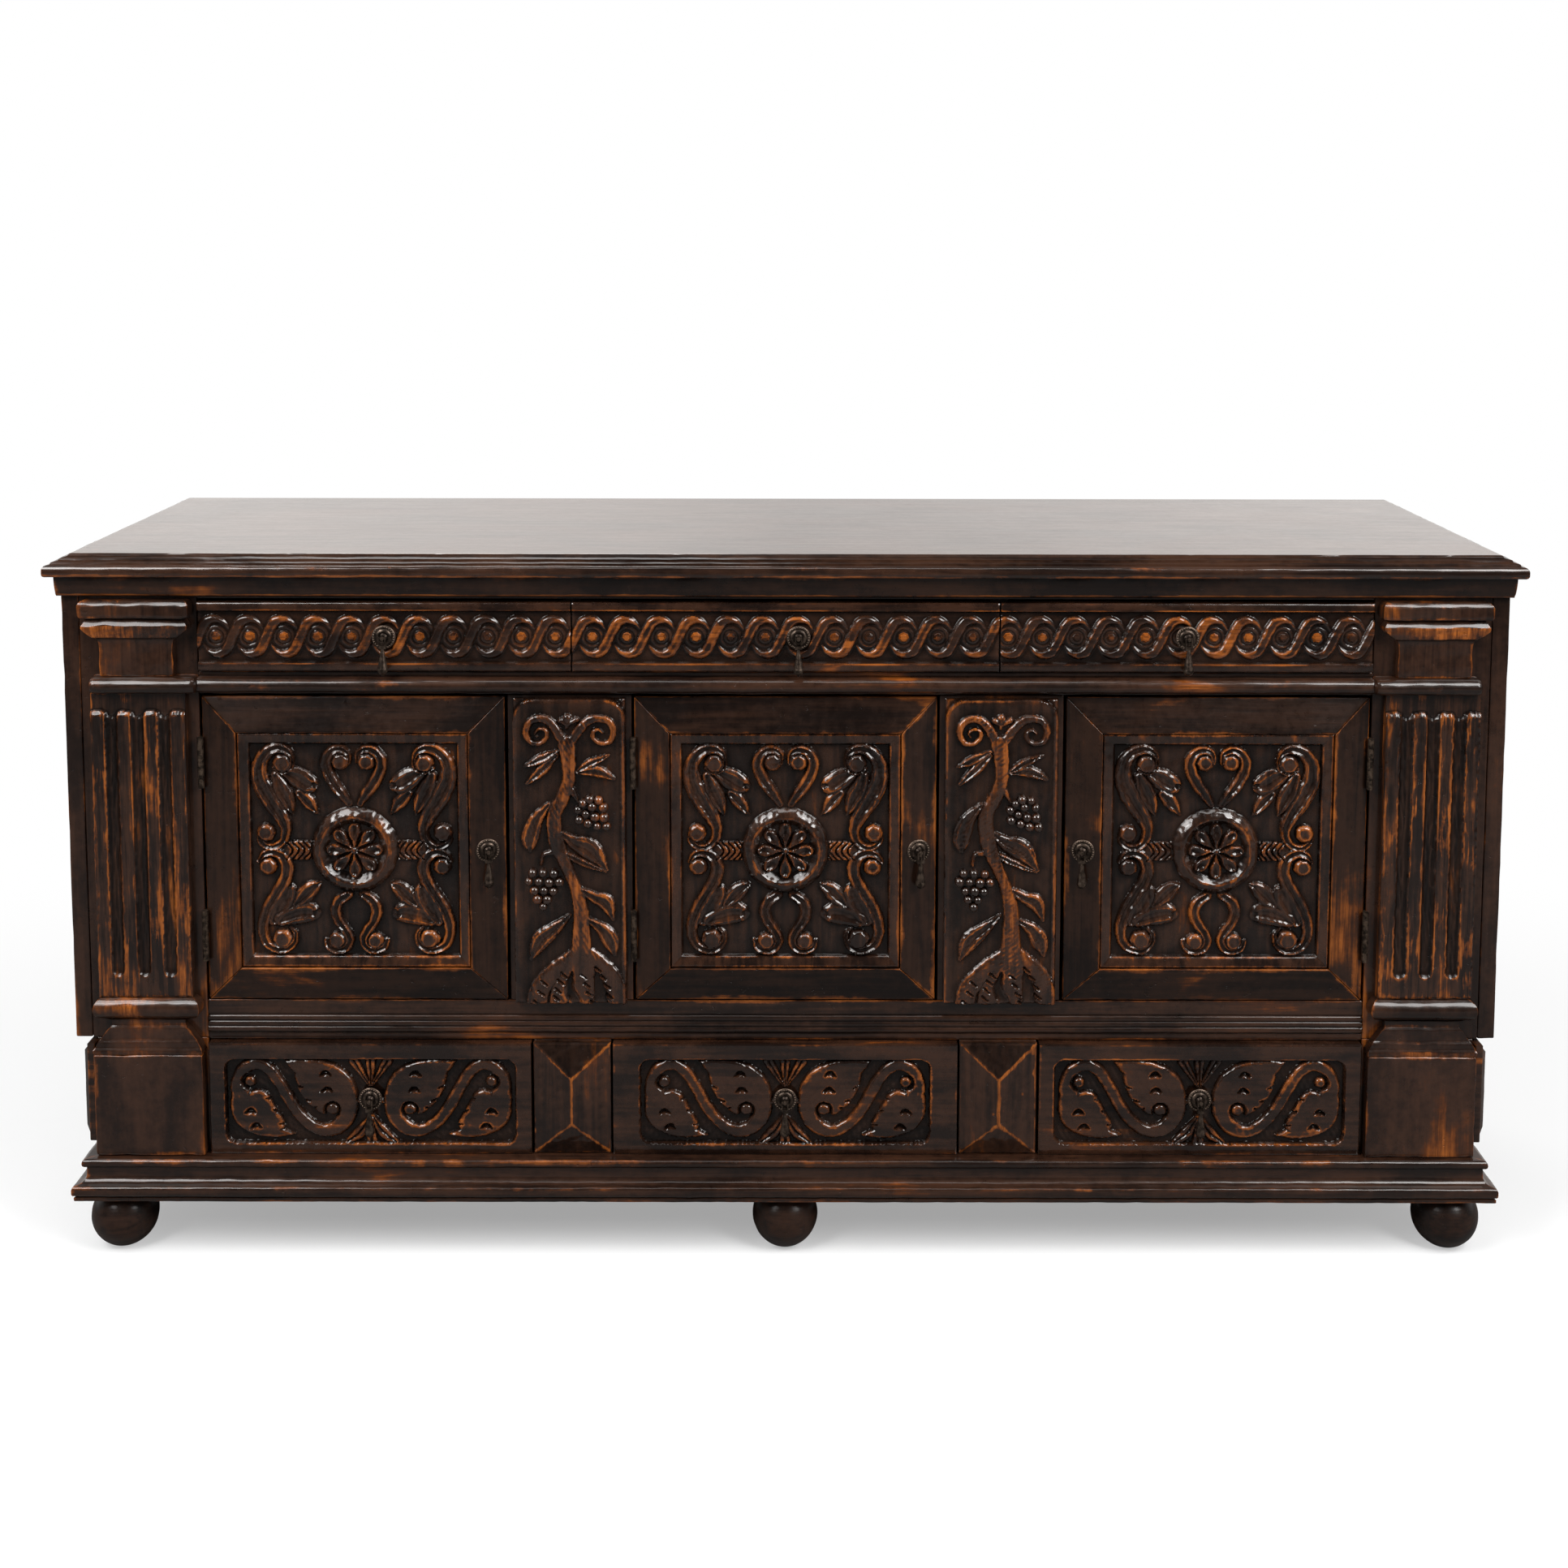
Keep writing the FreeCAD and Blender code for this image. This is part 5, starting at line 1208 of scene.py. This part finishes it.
def scatter_tree(name, kind):
    """Puts one small shape at every point: a ball, or a faceted button facing forward."""
    tree = bpy.data.node_groups.new(name, "GeometryNodeTree")
    face = tree.interface
    face.new_socket("Geometry", in_out="INPUT", socket_type="NodeSocketGeometry")
    for label in ("Radius", "Height", "Worn"):
        face.new_socket(label, in_out="INPUT", socket_type="NodeSocketFloat")
    face.new_socket("Seed", in_out="INPUT", socket_type="NodeSocketInt")
    face.new_socket("Finish", in_out="INPUT", socket_type="NodeSocketMaterial")
    face.new_socket("Geometry", in_out="OUTPUT", socket_type="NodeSocketGeometry")

    def add(node, **inputs):
        made = tree.nodes.new(node)
        for key, value in inputs.items():
            socket = made.inputs[key.replace("_", " ")]
            if isinstance(value, bpy.types.NodeSocket):
                tree.links.new(value, socket)
            else:
                socket.default_value = value
        return made

    def vary_between(low, high, first=2):
        """A random value for each point; its limits are inputs first and first + 1."""
        made = add("FunctionNodeRandomValue", Seed=given["Seed"])
        made.inputs[first].default_value, made.inputs[first + 1].default_value = low, high
        return made

    given = add("NodeGroupInput").outputs
    points = add("GeometryNodeMeshToPoints", Mesh=given["Geometry"])
    size = vary_between(0.88, 1.1)
    if kind == "ball":
        small = add("GeometryNodeMeshIcoSphere", Radius=given["Radius"], Subdivisions=3).outputs["Mesh"]
        spin = vary_between((-3, -3, -3), (3, 3, 3), 0)
    else:
        taper = tree.nodes.new("ShaderNodeMath")
        taper.operation = "MULTIPLY"
        taper.inputs[1].default_value = 0.6
        tree.links.new(given["Radius"], taper.inputs[0])
        small = add("GeometryNodeMeshCone", Vertices=7, Radius_Bottom=given["Radius"], Depth=given["Height"],
                    Radius_Top=taper.outputs[0]).outputs["Mesh"]
        spin = vary_between((math.pi / 2, 0, 0), (math.pi / 2, 1, 0), 0)
    spin.data_type = "FLOAT_VECTOR"
    put = add("GeometryNodeInstanceOnPoints", Points=points.outputs[0], Instance=small,
              Rotation=spin.outputs[0], Scale=size.outputs[1])
    fade = add("FunctionNodeRandomValue", Seed=given["Seed"])
    fade.inputs[2].default_value = 0.6
    tree.links.new(given["Worn"], fade.inputs[3])
    mark = tree.nodes.new("GeometryNodeStoreNamedAttribute")
    mark.domain = "INSTANCE"
    mark.inputs["Name"].default_value = "worn"
    tree.links.new(put.outputs[0], mark.inputs["Geometry"])
    tree.links.new(fade.outputs[1], mark.inputs["Value"])
    real = add("GeometryNodeRealizeInstances", Geometry=mark.outputs[0])
    smooth = add("GeometryNodeSetShadeSmooth", Geometry=real.outputs[0], Shade_Smooth=kind == "ball")
    paint = add("GeometryNodeSetMaterial", Geometry=smooth.outputs[0], Material=given["Finish"])
    add("NodeGroupOutput", Geometry=paint.outputs[0])
    return tree


def scatter(name, spots, tree, sizes, finish, stands_for, body):
    """Puts the tree's small shape at every spot, in millimetres, as one plain mesh."""
    mesh = bpy.data.meshes.new(name + "_points")
    mesh.from_pydata([[c * MM for c in spot] for spot in spots], [], [])
    seed_object = bpy.data.objects.new(name + "_points", mesh)
    bpy.context.scene.collection.objects.link(seed_object)
    modifier = seed_object.modifiers.new("scatter", "NODES")
    modifier.node_group = tree
    wanted = dict(sizes, Finish=finish)
    for item in tree.interface.items_tree:
        if item.in_out == "INPUT" and item.name in wanted:
            modifier[item.identifier] = wanted[item.name]
    bpy.context.view_layer.update()
    evaluated = seed_object.evaluated_get(bpy.context.evaluated_depsgraph_get())
    made = bpy.data.meshes.new_from_object(evaluated)
    bpy.data.objects.remove(seed_object)
    return place_piece(name, made, finish, stands_for, body)


BALLS = scatter_tree("round_beads", "ball")
BUTTONS = scatter_tree("faceted_buttons", "button")


# Pulls and hinges


def make_pull_plates():
    """A dished round plate with a beaded rim behind each pendant."""
    tilt = 14.93
    wells = [(drawer, given[2], UPPER_FACE_Y, UPPER_Z, 0.0) for drawer, given in UPPER_DRAWERS.items()]
    for drawer, x in zip(LOWER_DRAWERS, (-526.1, 0.0, 526.1)):
        wells.append((drawer, x, LOWER_FACE_Y, LOWER_Z, 0.0))
    for door, x, turned_by in zip(DOORS, (-373.5, 167.0, 373.5), (tilt, tilt, -tilt)):
        wells.append((door, x, DOOR_FACE_Y, DOOR_Z, turned_by))
    rows = [(0, 0.0), (15.0, 0.0), (15.0, 0.9), (14.2, 1.6), (12.8, 1.9),
            (11.6, 1.5), (10.6, 1.3), (9.4, 2.6)]
    rows += [(7.6, 3.3), (6.0, 3.0), (5.2, 2.2), (4.4, 2.6), (3.2, 4.6),
             (2.6, 5.2), (2.6, 10.6), (2.2, 11.5), (0, 11.8)]
    beads, bead_ring = 26, 13.0
    for k, (body, x, y, z, turned_by) in enumerate(wells):
        turn = math.radians(turned_by)
        cos, sin = math.cos(turn), math.sin(turn)

        def tilted(points):
            """Turns points about the plate's upright middle line and carries them to the plate."""
            points = np.array(points, float)
            across, deep, up = points.T
            return np.column_stack([x + across * cos - deep * sin, y + across * sin + deep * cos, z + up])

        shape = Shape()
        turned(shape, rows, (0, 0, 0), "y", 40)
        shape.points = [tilted(points) for points in shape.points]
        node = body + "_plate"
        shape.piece(body + "_pull_plate", BRONZE, [node], body, "dark_bronze", 50)
        ring = [(bead_ring * math.cos(t), -1.5, bead_ring * math.sin(t))
                for t in np.linspace(0, 2 * math.pi, beads, endpoint=False)]
        size = {"Radius": 0.00125, "Seed": 40 + k, "Worn": 0.6}
        scatter(body + "_plate_beads", tilted(ring), BALLS, size, BRONZE, [node], body)


def finish_node(name, finish):
    """Gives a node that is shown as it is its finish."""
    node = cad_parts[name]
    if not node.material_slots:
        node.data.materials.append(finish)
    for slot in node.material_slots:
        slot.material = finish


def finish_kept_nodes():
    for name in ("case_decks", "back_boards", "partitions", "shelves", "guides_and_cleats"):
        finish_node(name, INSIDE)
    for drawer in list(UPPER_DRAWERS) + list(LOWER_DRAWERS):
        finish_node(drawer + "_box", INSIDE)
        finish_node(drawer + "_drop", BRONZE)
    finish_node("hinge_frame_halves", IRON)
    for door in DOORS:
        finish_node(door + "_drop", BRONZE)
        finish_node(door + "_hinge_leaves", IRON)


# Studio


def make_floor():
    """Pale paper that takes a soft shadow near the object and fades to white away from it."""
    mesh = bpy.data.meshes.new("pale_floor")
    reach = 9.0
    corners = [(-reach, -reach, 0), (reach, -reach, 0), (reach, reach, 0), (-reach, reach, 0)]
    mesh.from_pydata(corners, [], [(0, 1, 2, 3)])
    floor = bpy.data.objects.new("pale_floor", mesh)
    bpy.context.scene.collection.objects.link(floor)
    f = Finish("pale_floor_paper")
    place = f.add("TexCoord", {}, out=3)
    squashed = f.stretched(place, (0.62, 1.0, 1.0))
    away = f.add("VectorMath", {0: squashed}, out=1, operation="LENGTH")
    seen = f.add("LightPath", {}, out=0)
    white = f.times(f.between(away, 0.35, 1.5, 0.35, 1.0), seen)
    pale = f.blend(seen, (0.17, 0.17, 0.17, 1), (0.82, 0.82, 0.82, 1))
    paper = f.add("BsdfDiffuse", {"Color": pale})
    glow = f.add("Emission", {"Color": (1, 1, 1, 1), "Strength": 1.0})
    f.show("Material", f.add("MixShader", {0: white, 1: paper, 2: glow}))
    mesh.materials.append(f.material)


# Name, place, what it points at, width, depth and power
SOFTBOXES = [
    ("left_softbox", (-2.3, -2.6, 2.5), (-0.2, -0.2, 0.5), 1.1, 1.1, 37),
    ("right_softbox", (2.5, -2.5, 2.3), (0.3, -0.2, 0.5), 0.95, 0.95, 50),
    ("left_overhead", (-1.95, -1.45, 2.65), (-0.8, -0.25, 0.55), 1.8, 1.3, 74),
    ("right_overhead", (1.95, -1.45, 2.65), (0.8, -0.25, 0.55), 1.6, 1.2, 76),
    ("middle_overhead", (0.0, -0.9, 3.1), (0, -0.3, 0.6), 1.6, 0.5, 12),
    ("back_softbox", (-0.9, 2.6, 2.8), (0, 0.26, 0.45), 1.6, 1.2, 34),
]


def make_room():
    """A white background. Other rays find it dim, and glossy ones bright only behind the object."""
    world = bpy.data.worlds.new("white_studio")
    bpy.context.scene.world = world
    world.use_nodes = True
    n = Nodes(world.node_tree)
    way = n.add("TexCoord", {}, out="Generated")
    across, behind, up = [n.add("SeparateXYZ", {0: way}, out=axis) for axis in "XYZ"]
    beside = n.add("Math", {0: across}, operation="ABSOLUTE")
    wall = n.times(n.between(behind, -0.45, 0.35, 0.07, 1.0), n.between(up, 0.26, 0.55, 1.0, 0.22))
    wall = n.times(wall, n.between(beside, 0.0, 0.3, 0.93, 1.16, "LINEAR"))

    def choose(ray, no, yes):
        return n.add("Mix", {0: n.add("LightPath", {}, out=ray), 2: no, 3: yes}, data_type="FLOAT")

    strength = choose("Is Glossy Ray", 0.22, wall)
    strength = choose("Is Transmission Ray", strength, 1.0)
    strength = choose("Is Camera Ray", strength, 1.0)
    n.show("World", n.add("Background", {"Color": (1, 1, 1, 1), "Strength": strength}))


def make_lamps():
    for name, spot, aim, wide, deep, power in SOFTBOXES:
        lamp = bpy.data.lights.new(name, "AREA")
        lamp.shape = "RECTANGLE"
        lamp.size, lamp.size_y = wide, deep
        lamp.energy = power
        holder = bpy.data.objects.new(name, lamp)
        bpy.context.scene.collection.objects.link(holder)
        holder.location = spot
        aim_way = np.array(aim) - np.array(spot)
        flat = math.hypot(aim_way[0], aim_way[1])
        holder.rotation_euler = (math.atan2(flat, -aim_way[2]), 0, math.atan2(-aim_way[0], aim_way[1]))


def make_camera():
    """Stands where the photograph was taken from, with part of its lens shift taken as a tilt."""
    lens = bpy.data.cameras.new("front_camera")
    lens.lens = 44.56
    lens.sensor_width = 36
    lens.shift_x = -0.00547
    lens.shift_y = -0.24
    camera = bpy.data.objects.new("front_camera", lens)
    bpy.context.scene.collection.objects.link(camera)
    camera.location = (0.0078, -2.5993, 1.3135)
    camera.rotation_euler = (math.radians(90 - 5.544), math.radians(-0.089), 0)
    bpy.context.scene.camera = camera
    bpy.context.scene.view_settings.view_transform = "Standard"


make_top()
make_base()
make_feet()
make_case()
make_rails()
make_capitals()
make_cushion_bases()
make_shafts()
make_pedestals()
make_lower_sides()
make_diamonds()
make_vines()
make_doors()
make_drawer_fronts()
make_pull_plates()
finish_kept_nodes()
make_floor()
make_room()
make_lamps()
make_camera()
